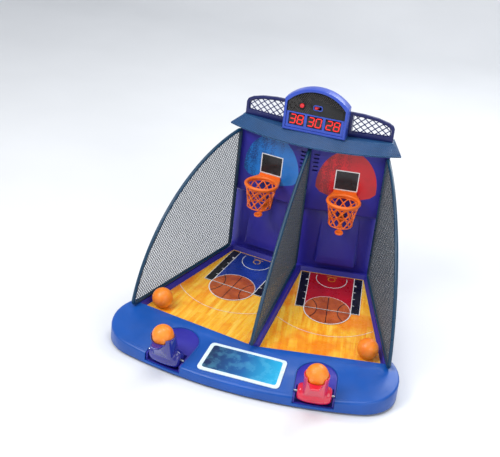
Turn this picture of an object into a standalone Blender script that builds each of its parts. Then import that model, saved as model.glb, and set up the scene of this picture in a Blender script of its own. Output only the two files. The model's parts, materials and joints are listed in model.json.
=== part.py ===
"""Two-player tabletop basketball arcade game, as separate parts, in metres, +Z up, the players at -Y.

Two lanes fan out from the back wall. Each lane has its own frame: its origin is on the table under the
middle of the court's front edge, x runs outwards (away from the divider) and y runs back along the lane.
"""
import math

import bmesh
import bpy
from mathutils import Matrix, Vector

GAP = 0.0003          # clearance between pieces that touch
WALL = 0.003          # moulded wall thickness

# Lanes
LANE_ANGLE = math.radians(9.3)
LANE_ORIGIN = Vector((0.1171, -0.0835, 0.0))   # of the right lane
COURT_LENGTH = 0.269
COURT_HALF_FRONT = 0.1085
COURT_HALF_BACK = 0.062
COURT_FRONT_Z = 0.036
COURT_SLOPE = math.tan(math.radians(4.9))
COURT_BOARD = 0.003
TAPER = (COURT_HALF_FRONT - COURT_HALF_BACK) / COURT_LENGTH
KERB = 0.014          # width of the raised border beside a court
KERB_RISE = 0.009
WELL_DRAFT = 0.003

# Base and apron
SKIRT_Z = 0.0043      # lower edge of the shells
PAN_TOP = 0.0068
BATTERY_ROOF = 0.0205
SHELF_Z = 0.0071      # everything that stands on the bottom pan starts here
APRON_FRONT = Vector((0.0, -0.207))
APRON_FRONT_RADIUS = 0.709
APRON_END = Vector((0.190, -0.106))
APRON_END_RADIUS = 0.072
APRON_FRONT_Z = 0.021  # height of the apron's plane at the middle of its front
APRON_SLOPE = 0.17
APRON_EDGE = 0.004

# Tower
WALL_FRONT = 0.279    # distance of the wall from the court's front edge, along the lane
TOWER_BACK = 0.3046
TOWER_HALF = 0.073
TOWER_FOOT = 0.068
TOWER_TOP = 0.336
SKIN = 0.0025
BOARD_FRONT = 0.267
BOARD_BOTTOM = 0.193
DEFLECTOR_TOP = 0.184
DEFLECTOR_BOTTOM = 0.084
DEFLECTOR_REACH = 0.014

# Hoop
BALL_RADIUS = 0.019
HOOP = Vector((0.0, 0.229, 0.236))
RING_RADIUS = 0.0298
RING_TUBE = 0.0032
BRACKET_HALF = 0.022
BASKET_HEIGHT = 0.043
BASKET_BOTTOM_RADIUS = 0.0222
PADDLE_PIVOT = Vector((0.0, 0.287, 0.1825))
PADDLE_DISC = Vector((0.0, 0.229, 0.172))
PADDLE_HALF = 0.005
PADDLE_PIN_RADIUS = 0.001
EAR_X = 0.0085        # middle of each ear that holds the paddle's pin
EAR_HALF = 0.0016
EAR_REACH = 0.0045

# Nets
TUBE = 0.0034
SIDE_ARC_CENTRE = Vector((0.3168, -0.017))     # distance along the kerb, height
SIDE_ARC_RADIUS = 0.3415
DIVIDER_ARC_CENTRE = Vector((0.4812, -0.290))  # y, height
DIVIDER_ARC_RADIUS = 0.689
NET_THICKNESS = 0.001

# Canopy and header
CANOPY_LOW = 0.326
CANOPY_TOP = 0.345
CANOPY_TIP = Vector((0.166, 0.190))
CANOPY_FRONT_Y = 0.144
CREST_TIP = Vector((0.147, 0.204))
CREST_FRONT_Y = 0.167
CANOPY_CHEEK = 0.004     # how far the canopy's ends stand out beside the tower's back
HEADER_FRONT = 0.2832
HEADER_DEPTH = 0.006
STAND_Z = CANOPY_TOP + GAP

# Scoreboard
BOARD_Y = 0.167
SCORE_DEPTH = 0.023
SCORE_HALF = 0.0605
SCORE_SIDE_Z = 0.405
SCORE_APEX_Z = 0.431
FACE_INSET = 0.005
WINDOW_HALF = Vector((0.015, 0.0115))
WINDOW_Z = 0.3675
WINDOW_PITCH = 0.035
BUTTON = Vector((-0.027, 0.396))
BUTTON_RADIUS = 0.004
SWITCH = Vector((0.003, 0.396))
SPEAKER = Vector((-0.0445, 0.3935))

# Launchers, in the lane's frame
PIVOT = Vector((0.0, -0.097, 0.0265))
SLOT_HALF = 0.0355
SLOT_END = -0.019
BAY_HALF = 0.032
HUB_RADIUS = 0.0175
HUB_HALF = 0.0295
ARM_LEAN = math.radians(20)
ARM_LENGTH = 0.052
CUP_RADIUS = 0.022
PIN_RADIUS = 0.002

FOOT_HEIGHT = 0.004

BLUE = (0.008, 0.085, 0.37)
VIOLET = (0.030, 0.026, 0.30)
NAVY = (0.006, 0.035, 0.085)
ORANGE = (0.87, 0.13, 0.012)
DARK = (0.012, 0.012, 0.014)
STEEL = (0.55, 0.56, 0.58)
GREEN = (0.02, 0.16, 0.06)


# Scene and materials

def clear_scene():
    for obj in list(bpy.data.objects):
        bpy.data.objects.remove(obj, do_unlink=True)


def material(name, colour, roughness=0.4, metallic=0.0):
    found = bpy.data.materials.get(name)
    if found:
        return found
    made = bpy.data.materials.new(name)
    made.use_nodes = True
    shader = made.node_tree.nodes["Principled BSDF"]
    shader.inputs["Base Color"].default_value = (*colour, 1.0)
    shader.inputs["Roughness"].default_value = roughness
    shader.inputs["Metallic"].default_value = metallic
    return made


def lane_matrix(side):
    """The frame of a lane: side is 1 for the right one and -1 for the left one."""
    place = Matrix.Translation((side * LANE_ORIGIN.x, LANE_ORIGIN.y, 0.0))
    return place @ Matrix.Rotation(side * LANE_ANGLE, 4, "Z")


def lane_empty(side):
    empty = bpy.data.objects.new("right_lane" if side > 0 else "left_lane", None)
    empty.matrix_world = lane_matrix(side)
    bpy.context.scene.collection.objects.link(empty)
    return empty


def side_name(side, name):
    return ("right_" if side > 0 else "left_") + name


# Mesh helpers

def new_object(name, bm, look=None, parent=None, origin=None):
    """Makes an object of the mesh. With an origin, the mesh is moved so that the origin lies at that point."""
    bmesh.ops.recalc_face_normals(bm, faces=bm.faces)
    if origin is not None:
        bmesh.ops.translate(bm, verts=bm.verts, vec=-Vector(origin))
    mesh = bpy.data.meshes.new(name)
    bm.to_mesh(mesh)
    bm.free()
    obj = bpy.data.objects.new(name, mesh)
    bpy.context.scene.collection.objects.link(obj)
    if look:
        mesh.materials.append(look)
    if parent:
        obj.parent = parent
    if origin is not None:
        obj.location = origin
    return obj


def smooth(obj, degrees=35):
    obj.data.shade_smooth()
    obj.data.set_sharp_from_angle(angle=math.radians(degrees))
    return obj


def loft(rings, split=None):
    """A closed mesh through rings of equal point counts. A cap folds along a line from point 0 to point split."""
    bm = bmesh.new()
    rows = [[bm.verts.new(point) for point in ring] for ring in rings]
    count = len(rows[0])
    for lower, upper in zip(rows, rows[1:]):
        for i in range(count):
            j = (i + 1) % count
            bm.faces.new((lower[i], lower[j], upper[j], upper[i]))
    for row in (rows[0], rows[-1]):
        if split is None:
            bm.faces.new(row)
        else:
            bm.faces.new(row[:split + 1])
            bm.faces.new(row[split:] + row[:1])
    return bm


def prism(outline, bottom, top, split=None):
    """An upright solid over an outline of (x, y). Its bottom and top are heights, or functions of x and y."""
    def ring(height):
        return [(x, y, height(x, y) if callable(height) else height) for x, y in outline]
    return loft([ring(bottom), ring(top)], split)


def plate(outline, front, back):
    """A solid over an outline of (x, z), from y = front to y = back."""
    return loft([[(x, front, z) for x, z in outline], [(x, back, z) for x, z in outline]])


def box(low, high):
    outline = [(low[0], low[1]), (high[0], low[1]), (high[0], high[1]), (low[0], high[1])]
    return prism(outline, low[2], high[2])


def revolve(profile, steps, axis="Z", centre=(0, 0, 0), closed=False):
    """Turns a profile of (radius, height) about an axis. A closed profile makes a ring."""
    bm = bmesh.new()
    rows = []
    for radius, height in profile:
        if radius < 1e-7:
            rows.append([bm.verts.new((0, 0, height))] * steps)
            continue
        angles = [2 * math.pi * k / steps for k in range(steps)]
        rows.append([bm.verts.new((radius * math.cos(a), radius * math.sin(a), height)) for a in angles])
    pairs = list(zip(rows, rows[1:]))
    if closed:
        pairs.append((rows[-1], rows[0]))
    for lower, upper in pairs:
        for i in range(steps):
            j = (i + 1) % steps
            corners = []
            for vertex in (lower[i], lower[j], upper[j], upper[i]):
                if vertex not in corners:
                    corners.append(vertex)
            bm.faces.new(corners)
    turn = {"X": Matrix.Rotation(math.pi / 2, 4, "Y"), "Y": Matrix.Rotation(-math.pi / 2, 4, "X")}
    if axis in turn:
        bmesh.ops.transform(bm, matrix=turn[axis], verts=bm.verts)
    bmesh.ops.translate(bm, verts=bm.verts, vec=Vector(centre))
    return bm


def cylinder(radius, low, high, steps=24, axis="Z", centre=(0, 0, 0)):
    return revolve([(0, low), (radius, low), (radius, high), (0, high)], steps, axis, centre)


def sphere(radius, steps=24, rows=12, centre=(0, 0, 0)):
    angles = [math.pi * k / rows for k in range(rows + 1)]
    profile = [(radius * math.sin(a), -radius * math.cos(a)) for a in angles]
    profile[0] = (0, -radius)
    profile[-1] = (0, radius)
    return revolve(profile, steps, centre=centre)


def bevelled(bm, chosen, width, segments=2):
    """Bevels the edges whose two ends and direction pass the test."""
    edges = [edge for edge in bm.edges if chosen(edge.verts[0].co, edge.verts[1].co)]
    bmesh.ops.bevel(bm, geom=edges, offset=width, segments=segments, affect="EDGES", profile=0.5)
    return bm


def arc(centre, radius, start, end, count):
    """Points on a circle, from one angle to another in radians."""
    angles = [start + (end - start) * k / count for k in range(count + 1)]
    return [(centre[0] + radius * math.cos(a), centre[1] + radius * math.sin(a)) for a in angles]


def rounded(points, radius, count=4):
    """A closed outline with its corners rounded."""
    result = []
    total = len(points)
    for i in range(total):
        corner = Vector(points[i])
        before = (Vector(points[i - 1]) - corner).normalized()
        after = (Vector(points[(i + 1) % total]) - corner).normalized()
        reach = radius / math.tan(before.angle(after) / 2)
        first, last = corner + before * reach, corner + after * reach
        for k in range(count + 1):
            t = k / count
            point = first * (1 - t) ** 2 + corner * 2 * t * (1 - t) + last * t ** 2
            result.append((point.x, point.y))
    return result


def inset(points, distance):
    """The outline moved inwards. Its points run anticlockwise."""
    result = []
    total = len(points)
    for i in range(total):
        here = Vector(points[i])
        before = (here - Vector(points[i - 1])).normalized()
        after = (Vector(points[(i + 1) % total]) - here).normalized()
        normal = Vector((-before.y - after.y, before.x + after.x))
        normal.normalize()
        lean = max(0.2, normal.dot(Vector((-before.y, before.x))))
        point = here + normal * distance / lean
        result.append((point.x, point.y))
    return result


def combine(obj, cutters, operation="DIFFERENCE", matrix=None):
    """Cuts the meshes from the object, or joins them to it, one at a time, and keeps the result as its mesh."""
    for bm in cutters:
        if matrix is not None:
            bmesh.ops.transform(bm, matrix=matrix, verts=bm.verts)
        tool = new_object("cutter", bm)
        tool.hide_render = True
        tool.display_type = "WIRE"
        tool.parent = obj.parent
        step = obj.modifiers.new("step", "BOOLEAN")
        step.object = tool
        step.operation = operation
        step.solver = "EXACT"
        graph = bpy.context.evaluated_depsgraph_get()
        result = bpy.data.meshes.new_from_object(obj.evaluated_get(graph))
        obj.modifiers.remove(step)
        name = obj.data.name
        old = obj.data
        obj.data = result
        bpy.data.meshes.remove(old)
        result.name = name
        bpy.data.objects.remove(tool, do_unlink=True)
    return obj


def tube_loop(points, radius, normal, sides=8):
    """A round tube along a flat closed path."""
    bm = bmesh.new()
    total = len(points)
    rows = []
    for i in range(total):
        here = Vector(points[i])
        before = (here - Vector(points[i - 1])).normalized()
        after = (Vector(points[(i + 1) % total]) - here).normalized()
        forward = (before + after).normalized()
        across = normal.cross(forward).normalized()
        across /= max(0.5, before.dot(forward))
        angles = [2 * math.pi * (k + 0.5) / sides for k in range(sides)]
        rows.append([bm.verts.new(here + radius * (math.cos(a) * across + math.sin(a) * normal)) for a in angles])
    for i in range(total):
        near, far = rows[i], rows[(i + 1) % total]
        for k in range(sides):
            m = (k + 1) % sides
            bm.faces.new((near[k], near[m], far[m], far[k]))
    return bm


# Shapes shared by the base's parts

def lane_point(side, x, y):
    point = lane_matrix(side) @ Vector((side * x, y, 0.0))
    return point.x, point.y


def along_lane(x, y):
    """Distance from the court's front edge, measured along the lane that the world point (x, y) is in."""
    return (y - LANE_ORIGIN.y) * math.cos(LANE_ANGLE) - (abs(x) - LANE_ORIGIN.x) * math.sin(LANE_ANGLE)


def kerb_edge(y):
    """How far the kerb's outer side is from the lane's middle."""
    return COURT_HALF_FRONT + KERB - TAPER * y


def middle_x(y):
    """The lane's x where the lane line at distance y crosses the divider's plane."""
    return -(LANE_ORIGIN.x - math.sin(LANE_ANGLE) * y) / math.cos(LANE_ANGLE)


def kerb_z(x, y):
    return COURT_FRONT_Z + KERB_RISE + COURT_SLOPE * along_lane(x, y)


def floor_z(x, y):
    """Underside of the court boards, with its clearance."""
    return COURT_FRONT_Z - COURT_BOARD - GAP + COURT_SLOPE * along_lane(x, y)


def apron_z(x, y):
    return APRON_FRONT_Z + APRON_SLOPE * (y - APRON_FRONT.y)


def mirrored(points):
    """The outline of both halves, anticlockwise, from the half at +X that runs from front to back."""
    first = [points[0]] if abs(points[0][0]) < 1e-6 else []
    last = [points[-1]] if abs(points[-1][0]) < 1e-6 else []
    inner = points[len(first):len(points) - len(last)]
    return first + inner + last + [(-x, y) for x, y in reversed(inner)]


def side_corners(front):
    """The base's corners at +X, from its front edge to the back of the tower."""
    return [lane_point(1, kerb_edge(front), front),
            lane_point(1, kerb_edge(WALL_FRONT), WALL_FRONT),
            lane_point(1, kerb_edge(WALL_FRONT), TOWER_BACK)]


def base_outline():
    front = -GAP
    half = [(0.0, lane_point(1, middle_x(front), front)[1])] + side_corners(front)
    return mirrored(half + [(0.0, lane_point(1, middle_x(TOWER_BACK), TOWER_BACK)[1])])


def apron_arc(shrink, beside):
    """The apron's outer edge at +X, from the middle of the front to a line beside the kerb's outer side."""
    end_radius = APRON_END_RADIUS - shrink
    centre = Vector((0.0, APRON_FRONT.y + APRON_FRONT_RADIUS))
    touch = math.atan2(APRON_END.y - centre.y, APRON_END.x)
    front = arc(centre, APRON_FRONT_RADIUS - shrink, -math.pi / 2, touch, 14)
    corner = Vector(lane_point(1, kerb_edge(0) + beside, 0))
    further = Vector(lane_point(1, kerb_edge(0.1) + beside, 0.1))
    run = (further - corner).normalized()
    offset = corner - APRON_END
    along = -offset.dot(run) + math.sqrt(offset.dot(run) ** 2 - offset.length_squared + end_radius ** 2)
    meet = corner + run * along
    end = math.atan2(meet.y - APRON_END.y, meet.x - APRON_END.x)
    return front[:-1] + arc(APRON_END, end_radius, touch, end, 14)


def apron_outline(shrink=0.0, wall=0.0):
    """The apron seen from above: shrink moves only its outer edge inwards, and wall the sides at the base too."""
    beside, back = GAP + wall, -2 * GAP - wall
    corners = [lane_point(1, kerb_edge(back) + beside, back), (0.0, lane_point(1, middle_x(back), back)[1])]
    return mirrored(apron_arc(shrink + wall, beside) + corners)


def whole_outline(margin):
    """The apron and the base together, seen from above, less a margin all round."""
    back = TOWER_BACK - margin
    corners = [lane_point(1, kerb_edge(WALL_FRONT) - margin, WALL_FRONT),
               lane_point(1, kerb_edge(WALL_FRONT) - margin, back),
               (0.0, lane_point(1, middle_x(back), back)[1])]
    return mirrored(apron_arc(margin, -margin) + corners)


def pan_clearance():
    return prism(whole_outline(WALL), 0.0, SHELF_Z)


# Base

def make_base_shell():
    outline = base_outline()
    look = material("violet_plastic", VIOLET, 0.38)
    shell = new_object("base_shell", prism(outline, SKIRT_Z, kerb_z, split=4), look)
    cavity = prism(inset(outline, WALL), 0.0, lambda x, y: floor_z(x, y) - WALL, split=4)
    combine(shell, [cavity, pan_clearance()])
    foot = [lane_point(1, 0.12, COURT_LENGTH + GAP), lane_point(1, 0.12, TOWER_BACK + 0.02)]
    foot = [(0.0, lane_point(1, middle_x(COURT_LENGTH), COURT_LENGTH)[1])] + foot
    foot += [(0.0, lane_point(1, middle_x(TOWER_BACK), TOWER_BACK + 0.02)[1])]
    combine(shell, [prism(mirrored(foot), TOWER_FOOT, 0.1)])
    for side in (-1, 1):
        rings = []
        for widen, rise in ((GAP, 0.0), (GAP + WELL_DRAFT, COURT_BOARD + KERB_RISE + 0.002)):
            front, back = -0.02, COURT_LENGTH + widen
            near, far = (COURT_HALF_FRONT + widen - TAPER * y for y in (front, back))
            outline = [(-near, front), (near, front), (far, back), (-far, back)]
            height = COURT_FRONT_Z - COURT_BOARD - GAP + rise
            rings.append([(x, y, height + COURT_SLOPE * y) for x, y in outline])
        combine(shell, [loft(rings)], matrix=lane_matrix(side))


def make_court_board(side, lane):
    outline = [(-COURT_HALF_FRONT, 0), (COURT_HALF_FRONT, 0),
               (COURT_HALF_BACK, COURT_LENGTH), (-COURT_HALF_BACK, COURT_LENGTH)]
    board = prism(outline, lambda x, y: COURT_FRONT_Z - COURT_BOARD + COURT_SLOPE * y,
                  lambda x, y: COURT_FRONT_Z + COURT_SLOPE * y)
    new_object(side_name(side, "court_board"), board, material("court", (0.85, 0.42, 0.06), 0.35), lane)


def slot_outline(half, end, front):
    return [(-half, front), (half, front)] + arc((0, end - half), half, 0, math.pi, 16)


def make_apron():
    outline = apron_outline()
    rings = [[(x, y, SKIRT_Z) for x, y in outline]]
    for k in range(4):
        turn = math.pi / 2 * k / 3
        shrink, drop = APRON_EDGE * (1 - math.cos(turn)), APRON_EDGE * (1 - math.sin(turn))
        rings.append([(x, y, apron_z(x, y) - drop) for x, y in apron_outline(shrink)])
    apron = new_object("front_apron", loft(rings), material("blue_plastic", BLUE, 0.35))
    cavity = prism(apron_outline(wall=WALL), 0.0, lambda x, y: apron_z(x, y) - WALL)
    combine(apron, [cavity, pan_clearance()])
    for side in (-1, 1):
        slot = prism(slot_outline(SLOT_HALF, SLOT_END, -0.15), 0.009, 0.08)
        combine(apron, [slot], matrix=lane_matrix(side))
    smooth(apron, 25)


def make_pan():
    bm = prism(whole_outline(WALL + GAP), SKIRT_Z, PAN_TOP)
    pan = new_object("bottom_pan", bm, material("dark_plastic", DARK, 0.5))
    compartment = box((-0.0325, 0.0275, 0.005), (0.0325, 0.0975, BATTERY_ROOF + 0.002))
    combine(pan, [compartment], "UNION")
    combine(pan, [box((-0.03, 0.03, 0), (0.03, 0.095, BATTERY_ROOF))])
    slits = (-0.02, -0.01, 0, 0.01, 0.02)
    combine(pan, [box((x - 0.0012, -0.05, 0), (x + 0.0012, -0.02, 0.02)) for x in slits])


def make_battery_parts():
    door = box((-0.032, 0.026, 0.0018), (0.032, 0.099, 0.004))
    new_object("battery_door", door, material("dark_plastic", DARK, 0.5), origin=(0, 0.06, 0.003))
    for name, x in (("left_battery", -0.009), ("right_battery", 0.009)):
        profile = [(0, -0.0245), (0.007, -0.0245), (0.00725, -0.024), (0.00725, 0.022), (0.007, 0.0225),
                   (0.0028, 0.0225), (0.0028, 0.0245), (0, 0.0245)]
        cell = revolve(profile, 20, "Y", (x, 0.0625, FOOT_HEIGHT + GAP + 0.0078))
        smooth(new_object(name, cell, material("battery_wrap", (0.02, 0.02, 0.02), 0.3)))


def make_feet():
    look = material("rubber", (0.02, 0.02, 0.02), 0.85)
    for name, x in (("left_front_foot", -0.185), ("right_front_foot", 0.185)):
        foot = cylinder(0.010, 0.0, FOOT_HEIGHT, 20, centre=(x, -0.105, 0))
        smooth(new_object(name, foot, look))
    strip = rounded([(-0.08, 0.168), (0.08, 0.168), (0.08, 0.182), (-0.08, 0.182)], 0.006)
    new_object("rear_foot_strip", prism(strip, 0.0, FOOT_HEIGHT), look)


def make_label_plate():
    outline = rounded([(-0.074, -0.193), (0.074, -0.193), (0.0695, -0.122), (-0.0695, -0.122)], 0.009, 5)
    bm = prism(outline, lambda x, y: apron_z(x, y) + GAP, lambda x, y: apron_z(x, y) + GAP + 0.0022)
    new_object("label_plate", bm, material("label", (0.02, 0.35, 0.6), 0.3))


# Tower

def tower_outline(near, far, outer):
    """Outline in a lane's frame between two distances. Its inner end is the divider's plane."""
    return [(middle_x(near) + GAP, near), (outer, near), (outer, far), (middle_x(far) + GAP, far)]


def hollow_outline(near, far):
    """The space inside a tower piece, one skin in from its sides."""
    inner = tower_outline(near, far, TOWER_HALF - SKIN)
    return [(inner[0][0] + SKIN, near), inner[1], inner[2], (inner[3][0] + SKIN, far)]


def vents(side, near):
    """Cutters for the row of slits beside the divider, through the skin whose front is at this distance."""
    slits = []
    for k in range(5):
        z = 0.305 - 0.008 * k
        slit = box((-0.067, near - 0.006, z), (-0.057, near + 0.006, z + 0.003))
        bmesh.ops.scale(slit, vec=(side, 1, 1), verts=slit.verts)
        slits.append(slit)
    return slits


def sided(side, points):
    return [(side * x, y) for x, y in points]


def make_back_wall(side, lane):
    front, back = WALL_FRONT, TOWER_BACK - SKIN - GAP
    bm = prism(sided(side, tower_outline(front, back, TOWER_HALF)), TOWER_FOOT + GAP, TOWER_TOP)
    wall = new_object(side_name(side, "back_wall"), bm, material("violet_plastic", VIOLET, 0.38), lane)
    hump = bmesh.new()
    for half, reach, z in ((0.038, DEFLECTOR_REACH, DEFLECTOR_BOTTOM), (0.034, DEFLECTOR_REACH, 0.1),
                           (0.036, 0.0, DEFLECTOR_TOP), (0.042, 0.0, DEFLECTOR_BOTTOM)):
        for x in (-half, half):
            hump.verts.new((x, front - reach, z))
            hump.verts.new((x, front + 0.001, z))
    bmesh.ops.convex_hull(hump, input=hump.verts)
    loose = [v for v in hump.verts if not v.link_faces]
    bmesh.ops.delete(hump, geom=loose, context="VERTS")
    combine(wall, [hump], "UNION")
    slot = box((-0.0065, 0.27, 0.1725), (0.0065, front + SKIN + 0.001, 0.190))
    hollow = hollow_outline(front + SKIN, back + 0.01)
    hollow = prism(sided(side, hollow), TOWER_FOOT - 0.01, TOWER_TOP + 0.01)
    combine(wall, [hollow, slot] + vents(side, front))
    ears = []
    for x in (-EAR_X, EAR_X):
        low = (x - EAR_HALF, front + SKIN - 0.001, PADDLE_PIVOT.z - EAR_REACH)
        high = (x + EAR_HALF, PADDLE_PIVOT.y + EAR_REACH, PADDLE_PIVOT.z + EAR_REACH)
        ears.append(box(low, high))
    combine(wall, ears, "UNION")
    combine(wall, [cylinder(PADDLE_PIN_RADIUS + GAP, -0.02, 0.02, 12, "X", PADDLE_PIVOT)])


def make_backboard(side, lane):
    back = WALL_FRONT - GAP
    bm = prism(sided(side, tower_outline(BOARD_FRONT, back, TOWER_HALF)), BOARD_BOTTOM, TOWER_TOP)
    near = BOARD_FRONT + 1e-5

    def lower_front(a, b):
        return max(a.z, b.z) < BOARD_BOTTOM + 1e-5 and max(a.y, b.y) < near

    bevelled(bm, lower_front, 0.004, 3)
    look = material("violet_plastic", VIOLET, 0.38)
    board = new_object(side_name(side, "backboard"), bm, look, lane)
    hollow = hollow_outline(BOARD_FRONT + SKIN, back + 0.01)
    hollow = prism(sided(side, hollow), BOARD_BOTTOM + SKIN, TOWER_TOP - SKIN)
    combine(board, [hollow] + vents(side, BOARD_FRONT))


def make_tower_cover():
    near, far = TOWER_BACK - SKIN, TOWER_BACK
    half = [(0.0, lane_point(1, middle_x(near), near)[1]), lane_point(1, TOWER_HALF, near),
            lane_point(1, TOWER_HALF, far), (0.0, lane_point(1, middle_x(far), far)[1])]
    bm = prism(mirrored(half), TOWER_FOOT + GAP, TOWER_TOP, split=3)
    new_object("tower_rear_cover", bm, material("violet_plastic", VIOLET, 0.38))


# Hoops

def make_rim(side, lane):
    look = material("orange_plastic", ORANGE, 0.35)
    section = [(RING_RADIUS + x, z) for x, z in arc((0, 0), RING_TUBE, 0, 2 * math.pi, 8)[:-1]]
    ring = revolve(section, 28, centre=HOOP, closed=True)
    rim = new_object(side_name(side, "rim"), ring, look, lane)
    reach = math.sqrt(RING_RADIUS ** 2 - 0.0275 ** 2)
    outline = [(-BRACKET_HALF, BOARD_FRONT - GAP), (-0.0305, HOOP.y + reach), (-0.0275, HOOP.y + reach)]
    start = math.atan2(reach, -0.0275)
    end = math.atan2(reach, 0.0275)
    outline += arc((HOOP.x, HOOP.y), RING_RADIUS, start, end, 12)[1:-1]
    outline += [(0.0275, HOOP.y + reach), (0.0305, HOOP.y + reach), (BRACKET_HALF, BOARD_FRONT - GAP)]
    arm = prism(outline, HOOP.z - 0.0022, HOOP.z + 0.0022)
    flange = box((-BRACKET_HALF, BOARD_FRONT - GAP - 0.003, HOOP.z - 0.008),
                 (BRACKET_HALF, BOARD_FRONT - GAP, HOOP.z + 0.0065))
    ribs = [box((x - 0.001, 0.256, HOOP.z - 0.0072), (x + 0.001, BOARD_FRONT - GAP - 0.001, HOOP.z))
            for x in (-0.0145, 0.0145)]
    smooth(combine(rim, [arm, flange] + ribs, "UNION"))


def make_basket(side, lane):
    """A moulded lattice of diamonds on a surface that narrows downwards."""
    around, rows = 10, 4
    top = HOOP.z - RING_TUBE - GAP
    strut, thick = 0.0027, 0.0018
    bm = bmesh.new()
    grid = []
    for j in range(rows + 1):
        share = j / rows
        radius = BASKET_BOTTOM_RADIUS + (RING_RADIUS - 0.0008 - BASKET_BOTTOM_RADIUS) * share ** 1.6
        ring = []
        for i in range(around):
            angle = 2 * math.pi * (i + 0.5 * (j % 2)) / around
            ring.append(bm.verts.new((HOOP.x + radius * math.cos(angle), HOOP.y + radius * math.sin(angle),
                                      top - BASKET_HEIGHT * (1 - share))))
        grid.append(ring)
    for j in range(rows - 1):
        for i in range(around):
            left, right = (i - 1, i) if j % 2 == 0 else (i, (i + 1) % around)
            bm.faces.new((grid[j][i], grid[j + 1][right], grid[j + 2][i], grid[j + 1][left]))
    for j, inner in ((0, 1), (rows, rows - 1)):
        for i in range(around):
            bm.faces.new((grid[j][i], grid[j][(i + 1) % around], grid[inner][i]))
    bmesh.ops.recalc_face_normals(bm, faces=bm.faces)
    cells = list(bm.faces)
    bmesh.ops.inset_individual(bm, faces=cells, thickness=strut / 2, use_even_offset=True)
    bmesh.ops.delete(bm, geom=cells, context="FACES_ONLY")
    bmesh.ops.solidify(bm, geom=list(bm.faces), thickness=thick)
    look = material("orange_plastic", ORANGE, 0.35)
    smooth(new_object(side_name(side, "basket"), bm, look, lane), 50)


def make_paddle(side, lane):
    run = PADDLE_DISC - PADDLE_PIVOT
    length = math.hypot(run.y, run.z)
    drop = math.atan2(-run.z, -run.y)
    disc = revolve([(0, -0.002), (0.0074, -0.002), (0.008, -0.001), (0.008, 0.001), (0.0074, 0.002), (0, 0.002)],
                   24, centre=(0, -length, 0))
    outline = [(-0.003, -length + 0.006), (0.003, -length + 0.006), (PADDLE_HALF, -0.018), (PADDLE_HALF, 0.009),
               (-PADDLE_HALF, 0.009), (-PADDLE_HALF, -0.018)]
    paddle = new_object(side_name(side, "score_paddle"), disc, material("orange_plastic", ORANGE, 0.35), lane)
    eye = cylinder(0.0034, 0.0005 - PADDLE_HALF, PADDLE_HALF - 0.0005, 16, "X")
    combine(paddle, [prism(outline, -0.0017, 0.0017), eye], "UNION")
    combine(paddle, [cylinder(PADDLE_PIN_RADIUS + GAP, -0.01, 0.01, 12, "X")])
    paddle.data.transform(Matrix.Rotation(drop, 4, "X"))
    smooth(paddle)
    paddle.location = PADDLE_PIVOT
    pin = cylinder(PADDLE_PIN_RADIUS, -EAR_X - EAR_HALF, EAR_X + EAR_HALF, 12, "X")
    pin = new_object(side_name(side, "paddle_pin"), pin, material("steel", STEEL, 0.3, 1.0), lane)
    smooth(pin)
    pin.location = PADDLE_PIVOT
    make_score_switch(side, lane)


def make_score_switch(side, lane):
    """A small switch on the rear cover. The paddle's tail rises under its button."""
    low = PADDLE_PIVOT.z + 0.009
    body = box((-0.006, 0.2905, low), (0.006, TOWER_BACK - SKIN - GAP, low + 0.012))
    switch = new_object(side_name(side, "score_switch"), body, material("switch_black", DARK, 0.4), lane)
    combine(switch, [box((-0.0015, 0.292, low - 0.0013), (0.0015, 0.2945, low + 0.001))], "UNION")


# Nets

def round_corner(before, corner, after, radius=0.009, count=4):
    """Points of a rounded corner between two neighbours."""
    corner = Vector(corner)
    first = corner + (Vector(before) - corner).normalized() * radius
    last = corner + (Vector(after) - corner).normalized() * radius
    steps = [k / count for k in range(count + 1)]
    return [tuple(first * (1 - t) ** 2 + corner * 2 * t * (1 - t) + last * t ** 2) for t in steps]


def net_frame_path(centre, radius, rear, rail):
    """The tube's path in the net's plane: front arc from foot to top, rear upright and bottom rail."""
    def on_arc(z):
        return centre.x - math.sqrt(radius ** 2 - (z - centre.y) ** 2)

    foot_z = rail(on_arc(0.05))
    foot = (on_arc(foot_z), foot_z)
    top = (rear, centre.y + math.sqrt(radius ** 2 - (rear - centre.x) ** 2))
    bottom = (rear, rail(rear))
    low_angle = math.pi - math.asin((foot_z + 0.012 - centre.y) / radius)
    top_angle = math.pi / 2 + math.asin((centre.x - rear + 0.012) / radius)
    curve = arc(centre, radius, low_angle, top_angle, 16)
    return (round_corner(bottom, foot, curve[0]) + curve + round_corner(curve[-1], top, bottom)
            + round_corner(top, bottom, foot))


def make_net(name, path, to_world, normal):
    centre_line = [to_world(u, z) for u, z in path]
    frame = tube_loop(centre_line, TUBE, normal)
    smooth(new_object(name + "_frame", frame, material("navy_plastic", NAVY, 0.35)), 50)
    inner = inset(path[::-1], TUBE + GAP)
    half = normal * NET_THICKNESS / 2
    panel = loft([[to_world(u, z) - half for u, z in inner], [to_world(u, z) + half for u, z in inner]])
    new_object(name, panel, material("net_fabric", (0.01, 0.05, 0.08), 0.8))


def make_side_net(side):
    inner = KERB / 2 + 0.001
    front, back = 0.0, 0.2625
    start = Vector(lane_point(side, COURT_HALF_FRONT + inner, front))
    end = Vector(lane_point(side, TOWER_HALF - TUBE - 0.0005, back))
    run = (end - start).normalized()
    length = (end - start).length
    normal = Vector((run.y, -run.x, 0))

    def to_world(u, z):
        return Vector((start.x + run.x * u, start.y + run.y * u, z))

    def rail(u):
        point = to_world(u, 0)
        return kerb_z(point.x, point.y) + TUBE + 0.0008

    path = net_frame_path(SIDE_ARC_CENTRE, SIDE_ARC_RADIUS, length, rail)
    make_net("right_side_net" if side > 0 else "left_side_net", path, to_world, normal)


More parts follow.
